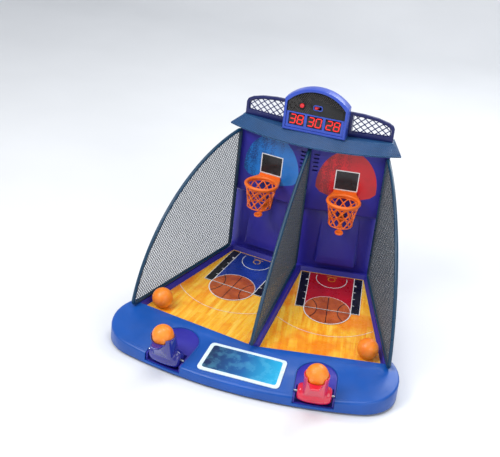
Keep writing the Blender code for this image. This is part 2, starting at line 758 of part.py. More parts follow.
def make_divider():
    def to_world(u, z):
        return Vector((0, u, z))

    def rail(u):
        return kerb_z(0, u) + TUBE + 0.0008

    rear = lane_point(1, middle_x(BOARD_FRONT), BOARD_FRONT)[1] - TUBE - 0.0015
    path = net_frame_path(DIVIDER_ARC_CENTRE, DIVIDER_ARC_RADIUS, rear, rail)
    make_net("divider_net", path, to_world, Vector((1, 0, 0)))


# Canopy and header

def arc_through(front_y, tip, count=24):
    """Points of the arc from the tip at -X through the front to the tip at +X."""
    sag = tip.y - front_y
    radius = (tip.x ** 2 + sag ** 2) / (2 * sag)
    centre = (0.0, front_y + radius)
    spread = math.asin(tip.x / radius)
    return arc(centre, radius, -math.pi / 2 - spread, -math.pi / 2 + spread, count)


def canopy_ring(front_y, tip, z, shrink=0.0):
    back, side = TOWER_BACK - 0.001 - shrink, TOWER_HALF + CANOPY_CHEEK - shrink
    rear = [lane_point(1, side, back), (0.0, lane_point(1, middle_x(back), back)[1]), lane_point(-1, side, back)]
    return [(x, y, z) for x, y in arc_through(front_y, tip) + rear]


def make_canopy():
    lip = 0.003
    rings = [canopy_ring(CANOPY_FRONT_Y, CANOPY_TIP, CANOPY_LOW),
             canopy_ring(CANOPY_FRONT_Y, CANOPY_TIP, CANOPY_LOW + lip),
             canopy_ring(CREST_FRONT_Y, CREST_TIP, CANOPY_TOP - 0.001),
             canopy_ring(CREST_FRONT_Y + 0.001, CREST_TIP, CANOPY_TOP)]
    canopy = new_object("canopy", loft(rings), material("teal_plastic", (0.008, 0.06, 0.11), 0.4))
    skin = Vector((SKIN, -SKIN))
    hollow = [canopy_ring(CANOPY_FRONT_Y + SKIN, CANOPY_TIP - skin, CANOPY_LOW - 0.001, SKIN),
              canopy_ring(CANOPY_FRONT_Y + SKIN, CANOPY_TIP - skin, CANOPY_LOW + lip - 0.001, SKIN),
              canopy_ring(CREST_FRONT_Y + SKIN, CREST_TIP - skin, CANOPY_TOP - SKIN, SKIN)]
    combine(canopy, [loft(hollow)])
    near, far = BOARD_FRONT - 0.0008, TOWER_BACK + 0.01
    reach = TOWER_HALF + GAP
    half = [(0.0, lane_point(1, middle_x(near), near)[1]), lane_point(1, reach, near), lane_point(1, reach, far),
            (0.0, lane_point(1, middle_x(far), far)[1])]
    smooth(combine(canopy, [prism(mirrored(half), CANOPY_LOW - 0.01, TOWER_TOP + GAP, split=3)]), 20)


def header_outline(margin=0.0):
    outer, low = 0.0735 - margin, STAND_Z + margin
    crown = [(outer, 0.3705 - margin), (0.0705 - margin * 0.7, 0.3765 - margin), (0.062, 0.3815 - margin),
             (0.042, 0.3875 - margin), (0.014, 0.3915 - margin)]
    return [(-0.0155 + margin, low), (outer, low)] + crown + [(-0.0155 + margin, 0.393 - margin)]


def window_outline(margin=0.0):
    crown = [(0.0675, 0.3685), (0.0645, 0.3735), (0.0575, 0.3775), (0.040, 0.3830), (0.014, 0.3865)]
    points = [(-0.0055, 0.3545), (0.0645, 0.3545), (0.0675, 0.3575)] + crown + [(-0.0055, 0.388)]
    return inset(points, margin)


def make_header(side, lane):
    def flip(points):
        return [(side * x, z) for x, z in points]

    look = material("navy_plastic", NAVY, 0.35)
    front = HEADER_FRONT
    bm = plate(flip(header_outline()), front, front + HEADER_DEPTH)
    frame = new_object(side_name(side, "header_frame"), bm, look, lane)
    combine(frame, [plate(flip(window_outline()), front - 0.01, front + 0.02)])
    middle = front + HEADER_DEPTH / 2
    panel = plate(flip(window_outline(GAP)), middle - 0.0009, middle + 0.0009)
    grille = new_object(side_name(side, "header_grille"), panel, look, lane)
    pitch_x, pitch_z, strut = 0.0136, 0.0112, 0.0023
    holes = bmesh.new()
    for row in range(-1, 8):
        for column in range(-2, 6):
            x = 0.0035 + pitch_x * (column + 0.5 * (row % 2))
            z = 0.3547 + pitch_z / 2 * row
            half_x, half_z = pitch_x / 2 - strut / 2, pitch_z / 2 - strut / 2
            diamond = [(x - half_x, z), (x, z - half_z), (x + half_x, z), (x, z + half_z)]
            piece = plate(flip(diamond), middle - 0.01, middle + 0.01)
            mesh = bpy.data.meshes.new("hole")
            piece.to_mesh(mesh)
            piece.free()
            holes.from_mesh(mesh)
            bpy.data.meshes.remove(mesh)
    cutter = new_object("holes", holes, parent=lane)
    combine(cutter, [plate(flip(window_outline(0.0018)), middle - 0.005, middle + 0.005)], "INTERSECT")
    inner = bmesh.new()
    inner.from_mesh(cutter.data)
    bpy.data.objects.remove(cutter, do_unlink=True)
    combine(grille, [inner])


# Scoreboard

def score_outline(margin=0.0):
    """The scoreboard's outline in x and z: upright sides under a shallow arch."""
    half, low, side_z, apex = SCORE_HALF - margin, STAND_Z + margin, SCORE_SIDE_Z - margin, SCORE_APEX_Z - margin
    sag = apex - side_z
    radius = (half ** 2 + sag ** 2) / (2 * sag)
    spread = math.asin(half / radius)
    crown = arc((0.0, apex - radius), radius, math.pi / 2 - spread, math.pi / 2 + spread, 20)
    return [(-half, low), (half, low)] + crown


def window_centres():
    return [(name, WINDOW_PITCH * k) for name, k in (("left", -1), ("centre", 0), ("right", 1))]


def make_scoreboard():
    front, back = BOARD_Y, BOARD_Y + SCORE_DEPTH
    bm = plate(score_outline(), front, back)
    near = front + 1e-5

    def front_rim(a, b):
        return max(a.y, b.y) < near

    bevelled(bm, front_rim, 0.0025, 3)
    housing = new_object("scoreboard_housing", bm, material("light_blue_plastic", (0.06, 0.10, 0.55), 0.35))
    combine(housing, [plate(score_outline(WALL), front + 0.0052, back + 0.01),
                      plate(score_outline(FACE_INSET), front - 0.01, front + 0.01)])
    smooth(housing)
    black = material("panel_black", (0.01, 0.01, 0.012), 0.3)
    face_front = front + 0.003
    panel = plate(score_outline(FACE_INSET + GAP), face_front, face_front + 0.002)
    panel = new_object("scoreboard_panel", panel, black)
    for _, x in window_centres():
        low = (x - WINDOW_HALF.x - GAP, front - 0.01, WINDOW_Z - WINDOW_HALF.y - GAP)
        high = (x + WINDOW_HALF.x + GAP, front + 0.02, WINDOW_Z + WINDOW_HALF.y + GAP)
        combine(panel, [box(low, high)])
    combine(panel, [cylinder(BUTTON_RADIUS + 0.0005, -0.01, 0.01, 20, "Y", (BUTTON.x, front, BUTTON.y)),
                    box((SWITCH.x - 0.0075, front - 0.01, SWITCH.y - 0.003),
                        (SWITCH.x + 0.0075, front + 0.01, SWITCH.y + 0.003))])
    holes = []
    for k in range(6):
        x, z = SPEAKER.x + 0.0055 * math.cos(k * math.pi / 3), SPEAKER.y + 0.0055 * math.sin(k * math.pi / 3)
        holes.append(cylinder(0.0016, -0.01, 0.01, 8, "Y", (x, front, z)))
    combine(panel, holes)
    for name, x in window_centres():
        low = (x - WINDOW_HALF.x, face_front + 0.0004, WINDOW_Z - WINDOW_HALF.y)
        high = (x + WINDOW_HALF.x, face_front + 0.0095, WINDOW_Z + WINDOW_HALF.y)
        new_object(name + "_display", box(low, high), material("display_red", (0.03, 0.002, 0.002), 0.15))
    board = box((-0.052, face_front + 0.0098, 0.3525), (0.052, face_front + 0.0114, 0.3805))
    new_object("circuit_board", board, material("circuit_green", GREEN, 0.4))
    make_controls(front, face_front)
    cone = [(0, 0.0003), (0.0107, 0.0003), (0.0107, 0.0018), (0.0075, 0.006), (0.0075, 0.0095), (0, 0.0095)]
    speaker = revolve(cone, 24, "Y", (SPEAKER.x, face_front + 0.002, SPEAKER.y))
    smooth(new_object("speaker", speaker, material("speaker_black", DARK, 0.6)))
    cover = plate(score_outline(WALL + GAP), back - 0.0025, back)
    new_object("scoreboard_rear_cover", cover, material("violet_plastic", VIOLET, 0.38))


def make_controls(front, face_front):
    red = material("button_red", (0.72, 0.02, 0.02), 0.3)
    stem = [(0, -0.0025), (0.003, -0.0025), (BUTTON_RADIUS, -0.0017), (BUTTON_RADIUS, 0.0045), (0.0055, 0.0045),
            (0.0055, 0.006), (0, 0.006)]
    button = revolve(stem, 24, "Y", (0, 0, 0))
    button = smooth(new_object("reset_button", button, red))
    button.location = (BUTTON.x, face_front - 0.0008, BUTTON.y)
    knob = box((-0.0025, -0.0022, -0.0022), (0.0025, 0.003, 0.0022))
    knob = new_object("power_switch_knob", knob, red)
    flange = box((-0.0045, 0.0031, -0.0045), (0.0045, 0.0045, 0.0045))
    stalk = box((-0.0018, 0.0025, -0.0018), (0.0018, 0.0035, 0.0018))
    combine(knob, [stalk, flange], "UNION")
    knob.location = (SWITCH.x - 0.003, face_front, SWITCH.y)


# Launchers

def ball_in_cup():
    """Centre of the loaded ball, from the launcher's pivot."""
    return Vector((0, -ARM_LENGTH * math.sin(ARM_LEAN), ARM_LENGTH * math.cos(ARM_LEAN)))


def make_launcher(side, lane):
    colour = (0.75, 0.006, 0.04) if side > 0 else (0.02, 0.02, 0.22)
    look = material(side_name(side, "launcher_plastic"), colour, 0.15)
    barrel = [(0, -HUB_HALF), (0.0105, -HUB_HALF), (0.0137, -0.027), (0.0163, -0.020), (0.0173, -0.010),
              (HUB_RADIUS, 0), (0.0173, 0.010), (0.0163, 0.020), (0.0137, 0.027), (0.0105, HUB_HALF), (0, HUB_HALF)]
    name = side_name(side, "launcher")
    launcher = new_object(name, revolve(barrel, 24, "X"), look, lane)
    ball = ball_in_cup()
    neck = bmesh.new()
    ball_shell = sphere(CUP_RADIUS, 24, 12, ball)
    for vertex in ball_shell.verts:
        neck.verts.new(vertex.co)
    ball_shell.free()
    for k in range(16):
        angle = 2 * math.pi * k / 16
        for x in (-0.019, 0.019):
            neck.verts.new((x, 0.0125 * math.cos(angle), 0.0125 * math.sin(angle)))
    bmesh.ops.convex_hull(neck, input=neck.verts)
    bmesh.ops.delete(neck, geom=[v for v in neck.verts if not v.link_faces], context="VERTS")
    lip = rounded([(-0.008, -0.032), (0.008, -0.032), (0.012, -0.015), (-0.012, -0.015)], 0.004, 3)
    lip = [(x, y + ball.y) for x, y in lip]
    combine(launcher, [neck, prism(lip, ball.z - 0.0125, ball.z - 0.0085)], "UNION")
    level = ball.z + 0.0015
    notch = ball.z - 0.0075
    combine(launcher, [sphere(BALL_RADIUS + 0.0006, 24, 12, ball),
                       box((-0.03, -0.06, level), (0.03, 0.03, level + 0.04)),
                       box((-0.0135, -0.06, notch), (0.0135, 0.03, notch + 0.04)),
                       cylinder(PIN_RADIUS + GAP, -0.04, 0.04, 16, "X"),
                       cylinder(0.008, -0.04, -0.016, 20, "X")])
    launcher.location = PIVOT
    smooth(launcher, 40)
    pin = new_object(side_name(side, "launcher_pin"), cylinder(PIN_RADIUS, -0.0344, 0.0344, 16, "X"),
                     material("steel", STEEL, 0.3, 1.0), lane)
    smooth(pin)
    pin.location = PIVOT
    make_torsion_spring(side, lane)
    make_cradle(side, lane)


def make_torsion_spring(side, lane):
    """Five close turns round the pin, with an arm at each end."""
    turns, steps, sides = 5, 10, 5
    coil, wire, start, pitch = 0.0052, 0.0005, -0.0275, 0.002
    path = [Vector((start, 0, 0.0068))]
    for k in range(turns * steps + 1):
        angle = 2 * math.pi * k / steps
        path.append(Vector((start + pitch * k / steps, coil * math.sin(angle), coil * math.cos(angle))))
    path.append(path[-1] + Vector((0, 0, 0.0016)))
    bm = bmesh.new()
    rows = []
    for i, point in enumerate(path):
        ahead = path[min(i + 1, len(path) - 1)] - path[max(i - 1, 0)]
        across = ahead.cross(Vector((1, 0.01, 0))).normalized()
        up = ahead.cross(across).normalized()
        angles = [2 * math.pi * k / sides for k in range(sides)]
        rows.append([bm.verts.new(point + wire * (math.cos(a) * across + math.sin(a) * up)) for a in angles])
    for near, far in zip(rows, rows[1:]):
        for k in range(sides):
            m = (k + 1) % sides
            bm.faces.new((near[k], near[m], far[m], far[k]))
    bm.faces.new(rows[0])
    bm.faces.new(rows[-1])
    spring = new_object(side_name(side, "launcher_spring"), bm, material("steel", STEEL, 0.3, 1.0), lane)
    smooth(spring, 60)
    spring.location = PIVOT


def make_cradle(side, lane):
    """The moulded pocket that holds the launcher's pin and shows through the apron's slot."""
    to_world = lane_matrix(side)

    def top(x, y):
        point = to_world @ Vector((x, y, 0))
        return apron_z(point.x, point.y) - 0.0015

    outline = slot_outline(SLOT_HALF - GAP, SLOT_END - GAP, -0.13)
    cradle = new_object(side_name(side, "launcher_cradle"), prism(outline, SHELF_Z, top),
                        material("violet_plastic", VIOLET, 0.38), lane)
    combine(cradle, [prism(apron_outline(wall=WALL + GAP), 0.0, 0.1)], "INTERSECT", to_world.inverted())
    front, high = -0.14, 0.08
    bay = cylinder(HUB_RADIUS + 0.001, -BAY_HALF, BAY_HALF, 32, "X", PIVOT)
    combine(cradle, [bay,
                     box((-BAY_HALF, front, 0.0095), (BAY_HALF, PIVOT.y, high)),
                     box((-BAY_HALF, PIVOT.y - 0.02, PIVOT.z), (BAY_HALF, PIVOT.y + HUB_RADIUS + 0.001, high)),
                     sphere(0.046, 32, 16, (0, -0.072, 0.074)),
                     cylinder(PIN_RADIUS + GAP, -0.05, 0.05, 16, "X", PIVOT)])


def make_balls(lanes):
    look = material("ball_orange", (0.95, 0.22, 0.01), 0.35)
    rest = BALL_RADIUS / math.cos(math.atan(COURT_SLOPE)) + GAP
    for side in (-1, 1):
        for kind in ("loaded", "court"):
            ball = new_object(side_name(side, kind + "_ball"), sphere(BALL_RADIUS, 20, 10), look, lanes[side])
            smooth(ball, 60)
            if kind == "loaded":
                ball.location = PIVOT + ball_in_cup()
            else:
                y = BALL_RADIUS + 0.002
                ball.location = (side * 0.0805, y, COURT_FRONT_Z + COURT_SLOPE * y + rest)


def main():
    clear_scene()
    lanes = {side: lane_empty(side) for side in (-1, 1)}
    make_base_shell()
    make_apron()
    make_pan()
    make_battery_parts()
    make_feet()
    make_label_plate()
    make_tower_cover()
    make_canopy()
    make_scoreboard()
    make_divider()
    for side, lane in lanes.items():
        make_court_board(side, lane)
        make_back_wall(side, lane)
        make_backboard(side, lane)
        make_rim(side, lane)
        make_basket(side, lane)
        make_paddle(side, lane)
        make_side_net(side)
        make_header(side, lane)
        make_launcher(side, lane)
    make_balls(lanes)


main()
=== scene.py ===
"""The looks of the basketball hoop machine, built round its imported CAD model, in metres."""

import math
import random

import bmesh
import bpy
from mathutils import Matrix, Vector
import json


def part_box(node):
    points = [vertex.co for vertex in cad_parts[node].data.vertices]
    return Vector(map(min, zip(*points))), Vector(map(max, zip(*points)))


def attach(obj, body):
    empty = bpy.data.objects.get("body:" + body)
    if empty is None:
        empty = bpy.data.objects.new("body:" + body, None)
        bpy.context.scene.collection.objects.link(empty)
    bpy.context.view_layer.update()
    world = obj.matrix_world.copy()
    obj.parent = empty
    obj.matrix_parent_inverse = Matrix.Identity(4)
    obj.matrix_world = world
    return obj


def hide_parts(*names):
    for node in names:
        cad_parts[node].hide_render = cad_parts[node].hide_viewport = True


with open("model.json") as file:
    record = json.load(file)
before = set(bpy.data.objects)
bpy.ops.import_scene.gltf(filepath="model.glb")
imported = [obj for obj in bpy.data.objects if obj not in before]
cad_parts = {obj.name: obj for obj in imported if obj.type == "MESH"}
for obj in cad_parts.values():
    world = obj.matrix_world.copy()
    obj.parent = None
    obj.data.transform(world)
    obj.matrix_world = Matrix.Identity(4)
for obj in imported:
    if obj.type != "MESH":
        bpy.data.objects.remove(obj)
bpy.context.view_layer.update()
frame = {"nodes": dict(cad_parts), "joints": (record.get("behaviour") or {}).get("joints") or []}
NODES = frame["nodes"]
JOINTS = {joint["name"]: joint for joint in frame["joints"]}
UP = Vector((0, 0, 1))
MACHINE = "machine"
SIDES = {"left": -1, "right": 1}

# The lanes' frames come from the launchers' hinges
PIVOT_BACK = 0.097            # how far a launcher's hinge stands in front of its court
COURT_LENGTH = 0.269
COURT_HALF_FRONT = 0.1085
COURT_HALF_BACK = 0.062
COURT_FRONT_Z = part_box("right_court_board")[0].z + 0.003
COURT_SLOPE = math.tan(math.radians(4.9))
TAPER = (COURT_HALF_FRONT - COURT_HALF_BACK) / COURT_LENGTH
KERB = 0.014
KERB_RISE = 0.009
BOARD_FRONT = 0.267
TOWER_HALF = 0.073
TUBE = 0.0034
BALL_RADIUS = 0.019
LAYER = 0.00005               # height of one layer of printing ink above the one under it


class Lane:
    """A lane's own frame: x outwards from the lane's middle, y back along it."""

    def __init__(self, name):
        hinge = JOINTS[name + "_launcher_pull"]
        self.name = name
        self.side = SIDES[name]
        self.across = Vector(hinge["axis"]).normalized()
        self.along = UP.cross(self.across)
        pivot = Vector(hinge["pos_m"])
        self.pivot = pivot
        self.origin = pivot + self.along * PIVOT_BACK
        self.origin.z = 0

    def point(self, x, y, z):
        return self.origin + self.across * (self.side * x) + self.along * y + UP * z

    def court(self, x, y, rise=0.0):
        return self.point(x, y, COURT_FRONT_Z + COURT_SLOPE * y + rise)

    def board(self, x, z, rise=0.0):
        return self.point(x, BOARD_FRONT - rise, z)


LANES = [Lane("left"), Lane("right")]


# Materials

def srgb(code):
    """Linear colour of a six-digit sRGB code."""
    parts = [int(code[i:i + 2], 16) / 255 for i in (0, 2, 4)]
    return [p / 12.92 if p <= 0.04045 else ((p + 0.055) / 1.055) ** 2.4 for p in parts]


class Look:
    """A material under construction: a Principled shader and the nodes that feed it."""

    def __init__(self, name, roughness=0.4, metallic=0.0, coat=0.0, specular=0.5):
        self.material = bpy.data.materials.new(name)
        self.material.use_nodes = True
        self.tree = self.material.node_tree
        self.shader = self.tree.nodes["Principled BSDF"]
        self.shader.inputs["Roughness"].default_value = roughness
        self.shader.inputs["Metallic"].default_value = metallic
        self.shader.inputs["Coat Weight"].default_value = coat
        self.shader.inputs["Coat Roughness"].default_value = 0.08
        self.shader.inputs["Specular IOR Level"].default_value = specular
        self.coordinates = self.tree.nodes.new("ShaderNodeTexCoord").outputs["Object"]

    def node(self, kind, **settings):
        made = self.tree.nodes.new(kind)
        for key, value in settings.items():
            if hasattr(made, key):
                setattr(made, key, value)
            else:
                made.inputs[key.replace("_", " ").title()].default_value = value
        return made

    def link(self, source, target):
        self.tree.links.new(source, target)

    def noise(self, scale, detail=3.0, stretch=None):
        made = self.node("ShaderNodeTexNoise", scale=scale, detail=detail)
        vector = self.coordinates
        if stretch:
            mapping = self.node("ShaderNodeMapping")
            mapping.inputs["Scale"].default_value = stretch
            self.link(vector, mapping.inputs["Vector"])
            vector = mapping.outputs["Vector"]
        self.link(vector, made.inputs["Vector"])
        return made.outputs["Fac"]

    def ramp(self, source, stops):
        made = self.tree.nodes.new("ShaderNodeValToRGB")
        elements = made.color_ramp.elements
        for element, (position, _) in zip(elements, stops):
            element.position = position
        for position, _ in stops[2:]:
            elements.new(position)
        for element, (_, value) in zip(elements, stops):
            colour = value if hasattr(value, "__len__") else (value,) * 3
            element.color = (*colour, 1)
        self.link(source, made.inputs["Fac"])
        return made.outputs["Color"]

    def mix(self, share, first, second, blend="MIX"):
        made = self.tree.nodes.new("ShaderNodeMix")
        made.data_type = "RGBA"
        made.blend_type = blend
        for value, socket in ((share, 0), (first, 6), (second, 7)):
            if hasattr(value, "is_linked"):
                self.link(value, made.inputs[socket])
            elif socket:
                made.inputs[socket].default_value = (*value, 1)
            else:
                made.inputs[socket].default_value = value
        return made.outputs[2]

    def maths(self, operation, first, second=0.0, third=None):
        made = self.tree.nodes.new("ShaderNodeMath")
        made.operation = operation
        for i, value in enumerate((first, second, third)):
            if value is None:
                continue
            if hasattr(value, "is_linked"):
                self.link(value, made.inputs[i])
            else:
                made.inputs[i].default_value = value
        return made.outputs[0]

    def edges(self, radius=0.0008):
        """A mask that is high on edges: where a rounded normal leaves the flat one."""
        bevel = self.tree.nodes.new("ShaderNodeBevel")
        bevel.samples = 4
        bevel.inputs["Radius"].default_value = radius
        flat = self.tree.nodes.new("ShaderNodeNewGeometry").outputs["Normal"]
        dot = self.tree.nodes.new("ShaderNodeVectorMath")
        dot.operation = "DOT_PRODUCT"
        self.link(bevel.outputs["Normal"], dot.inputs[0])
        self.link(flat, dot.inputs[1])
        return self.ramp(dot.outputs["Value"], [(0.75, 1.0), (0.97, 0.0)])

    def colour(self, socket):
        self.link(socket, self.shader.inputs["Base Color"])

    def bump(self, height, depth, strength=1.0):
        made = self.tree.nodes.new("ShaderNodeBump")
        made.inputs["Strength"].default_value = strength
        made.inputs["Distance"].default_value = depth
        self.link(height, made.inputs["Height"])
        self.link(made.outputs["Normal"], self.shader.inputs["Normal"])

    def roughen(self, scale, low, high):
        patches = self.ramp(self.noise(scale, 4), [(0.35, low), (0.65, high)])
        self.link(patches, self.shader.inputs["Roughness"])


def shade(colour, factor):
    return [min(1.0, part * factor) for part in colour]


def plastic(name, code, low=0.3, high=0.42, grain=0.00008, coat=0.0, edge_highlight_strength=0.35, grain_scale=1400):
    """Moulded plastic: slow flow marks in its colour, a fine grain, and edges painted paler as a painted
    highlight.
    """
    look = Look(name, coat=coat)
    colour = srgb(code)
    flow = look.ramp(look.noise(16, 3), [(0.3, shade(colour, 0.88)), (0.7, shade(colour, 1.12))])
    speck = look.ramp(look.noise(600, 1), [(0.45, 0.0), (0.75, 0.12)])
    body = look.mix(speck, flow, shade(colour, 1.35))
    # Painted highlight: the edges are painted paler in patches, where light would catch them.
    if edge_highlight_strength:
        edge_highlight = look.maths("MULTIPLY", look.edges(), look.ramp(look.noise(90, 3), [(0.4, 0.2), (0.7, 1.0)]))
        highlight_tone = [part * 0.55 + 0.22 for part in shade(colour, 1.25)]
        body = look.mix(look.maths("MULTIPLY", edge_highlight, edge_highlight_strength), body, highlight_tone)
    look.colour(body)
    look.roughen(40, low, high)
    look.bump(look.noise(grain_scale, 2), grain, 0.5)
    return look.material


def steel(name):
    look = Look(name, metallic=1.0)
    look.colour(look.ramp(look.noise(300, 3, (1, 12, 12)), [(0.3, srgb("8A8C90")), (0.7, srgb("C9CBD0"))]))
    look.roughen(500, 0.18, 0.38)
    look.bump(look.noise(1500, 2, (1, 20, 20)), 0.00002)
    return look.material


def rubber(name):
    look = Look(name)
    look.colour(look.ramp(look.noise(120, 4), [(0.3, srgb("17171A")), (0.7, srgb("26262A"))]))
    look.roughen(200, 0.75, 0.92)
    look.bump(look.noise(2500, 2), 0.0001)
    return look.material


def ink(name, code, other=None, scale=70, low=0.24, high=0.36, share=0.6):
    """Printing ink under a clear film: a mottled colour with a faint dot screen."""
    look = Look(name, coat=0.25)
    colour = srgb(code)
    second = srgb(other) if other else shade(colour, 0.8)
    mottle = look.ramp(look.noise(scale, 4), [(0.5 - 0.25 * share, colour), (0.5 + 0.25 * share, second)])
    screen = look.node("ShaderNodeTexVoronoi", scale=1600.0)
    look.link(look.coordinates, screen.inputs["Vector"])
    dots = look.ramp(screen.outputs["Distance"], [(0.25, 0.10), (0.5, 0.0)])
    look.colour(look.mix(dots, mottle, shade(colour, 0.6)))
    look.roughen(60, low, high)
    look.bump(look.noise(1800, 2), 0.00003, 0.4)
    return look.material


def glow(name, code, strength):
    """A lit segment: bright in its middle tone, a little uneven."""
    look = Look(name, roughness=0.3)
    colour = srgb(code)
    look.colour(look.ramp(look.noise(900, 2), [(0.3, shade(colour, 0.8)), (0.7, colour)]))
    look.shader.inputs["Emission Color"].default_value = (*colour, 1)
    look.shader.inputs["Emission Strength"].default_value = strength
    look.roughen(300, 0.2, 0.35)
    return look.material


def ball_plastic(name):
    """Thin blown plastic with a fine pebble."""
    look = Look(name, coat=0.1)
    look.shader.inputs["Subsurface Weight"].default_value = 0.12
    look.shader.inputs["Subsurface Radius"].default_value = (0.004, 0.0015, 0.0005)
    tone = look.ramp(look.noise(45, 4),
                     [(0.3, srgb("F07A12")), (0.55, srgb("FA8C1E")), (0.75, srgb("FF9C34"))])
    scuff = look.ramp(look.noise(260, 5), [(0.62, 0.0), (0.72, 0.35)])
    look.colour(look.mix(scuff, tone, srgb("FFC07A")))
    look.roughen(120, 0.36, 0.5)
    pebble = look.node("ShaderNodeTexVoronoi", scale=900.0)
    look.link(look.coordinates, pebble.inputs["Vector"])
    look.bump(pebble.outputs["Distance"], 0.00012, 0.5)
    return look.material


def court_wood(lane):
    """Printed planks along the lane, in yellows and oranges, with darker splashes."""
    look = Look(lane.name + "_court_wood", coat=0.3)
    turn = look.node("ShaderNodeMapping", vector_type="POINT")
    turn.inputs["Rotation"].default_value = (0, 0, -math.atan2(lane.across.y, lane.across.x))
    look.link(look.coordinates, turn.inputs["Vector"])
    look.coordinates = turn.outputs["Vector"]
    grain = look.noise(55, 5, (3.5, 0.35, 1))
    planks = look.node("ShaderNodeTexBrick", scale=1.0)
    planks.inputs["Brick Width"].default_value = 0.12
    planks.inputs["Row Height"].default_value = 0.0085
    planks.inputs["Mortar Size"].default_value = 0.0002
    planks.inputs["Color1"].default_value = (0.42, 0.42, 0.42, 1)
    planks.inputs["Color2"].default_value = (0.62, 0.62, 0.62, 1)
    planks.inputs["Mortar"].default_value = (0.2, 0.2, 0.2, 1)
    quarter = look.node("ShaderNodeMapping")
    quarter.inputs["Rotation"].default_value = (0, 0, math.pi / 2)
    look.link(look.coordinates, quarter.inputs["Vector"])
    look.link(quarter.outputs["Vector"], planks.inputs["Vector"])
    height = look.mix(0.5, grain, planks.outputs["Color"])
    wood = look.ramp(height, [(0.28, srgb("E07A14")), (0.42, srgb("F49C1C")), (0.52, srgb("FBBB30")),
                              (0.66, srgb("FFD75C"))])
    patch = look.ramp(look.noise(13, 3), [(0.56, 0.0), (0.66, 0.75)])
    look.colour(look.mix(patch, wood, srgb("EE7A12")))
    look.roughen(60, 0.22, 0.36)
    look.bump(height, 0.00003, 0.4)
    return look.material


def halftone(name, code, dots, lane, direction):
    """An ink with a screen of round dots that grow towards one side."""
    look = Look(name, coat=0.2)
    colour, dark = srgb(code), srgb(dots)
    screen = look.node("ShaderNodeTexVoronoi", scale=340.0)
    screen.inputs["Randomness"].default_value = 0.35
    look.link(look.coordinates, screen.inputs["Vector"])
    position = look.tree.nodes.new("ShaderNodeVectorMath")
    position.operation = "DOT_PRODUCT"
    look.link(look.coordinates, position.inputs[0])
    axis = lane.across * direction.x * lane.side + UP * direction.y
    position.inputs[1].default_value = axis
    middle = lane.board(0, 0.275).dot(axis)
    slide = look.maths("MULTIPLY_ADD", look.maths("SUBTRACT", position.outputs["Value"], middle), 7.0, 0.28)
    wobble = look.maths("MULTIPLY_ADD", look.noise(45, 3), 0.5, -0.25)
    size = look.maths("ADD", slide, wobble)
    inside = look.maths("LESS_THAN", screen.outputs["Distance"], size)
    base = look.ramp(look.noise(30, 3), [(0.3, shade(colour, 0.85)), (0.7, shade(colour, 1.1))])
    look.colour(look.mix(look.maths("MULTIPLY", inside, 0.8), base, dark))
    look.roughen(60, 0.28, 0.4)
    look.bump(look.noise(1800, 2), 0.00003, 0.4)
    return look.material


def canopy_plastic(name):
    """Teal plastic with a moulded diamond texture; its raised diamonds and its edges are painted lighter as
    painted highlights.
    """
    look = Look(name)
    rows = []
    for slope in (1, -1):
        tilt = look.tree.nodes.new("ShaderNodeVectorMath")
        tilt.operation = "DOT_PRODUCT"
        look.link(look.coordinates, tilt.inputs[0])
        tilt.inputs[1].default_value = (900, slope * 1300, slope * 1300)
        rows.append(look.maths("SINE", tilt.outputs["Value"]))
    weave = look.maths("MAXIMUM", rows[0], rows[1])
    raised = look.ramp(weave, [(0.45, 0.0), (0.95, 1.0)])
    tone = look.ramp(look.noise(22, 3), [(0.3, srgb("0A2A52")), (0.7, srgb("103E72"))])
    # Painted highlights: the raised diamonds are painted lighter, and the edges paler still.
    edge_highlight = look.maths("MULTIPLY", look.edges(0.0012), 0.6)
    look.colour(look.mix(edge_highlight, look.mix(raised, tone, srgb("1A5486")), srgb("7FC4DC")))
    look.roughen(60, 0.38, 0.52)
    look.bump(raised, 0.00035, 0.8)
    return look.material


def circuit(name):
    look = Look(name, coat=0.5)
    traces = look.node("ShaderNodeTexBrick", scale=1.0)
    traces.inputs["Brick Width"].default_value = 0.006
    traces.inputs["Row Height"].default_value = 0.0015
    traces.inputs["Mortar Size"].default_value = 0.0002
    traces.inputs["Color1"].default_value = (*srgb("0F5A2A"), 1)
    traces.inputs["Color2"].default_value = (*srgb("0C4A24"), 1)
    traces.inputs["Mortar"].default_value = (*srgb("3C8A4A"), 1)
    look.link(look.coordinates, traces.inputs["Vector"])
    look.colour(traces.outputs["Color"])
    look.roughen(200, 0.25, 0.4)
    return look.material


def net_cord(name):
    look = Look(name)
    look.shader.inputs["Sheen Weight"].default_value = 0.3
    look.shader.inputs["Sheen Roughness"].default_value = 0.5
    look.colour(look.ramp(look.noise(700, 3), [(0.3, srgb("061820")), (0.7, srgb("103444"))]))
    look.roughen(300, 0.55, 0.75)
    look.bump(look.noise(4000, 2), 0.0001)
    return look.material


def battery_look(name):
    look = Look(name, coat=0.3)
    place = look.tree.nodes.new("ShaderNodeSeparateXYZ")
    look.link(look.coordinates, place.inputs[0])
    band = look.ramp(look.maths("MULTIPLY_ADD", place.outputs["Y"], 20.0, -0.7),
                     [(0.74, srgb("1A1A1E")), (0.76, srgb("C87A2A"))])
    look.colour(look.mix(look.ramp(look.noise(300, 3), [(0.4, 0.0), (0.8, 0.15)]), band, srgb("FFFFFF")))
    look.roughen(100, 0.22, 0.4)
    return look.material


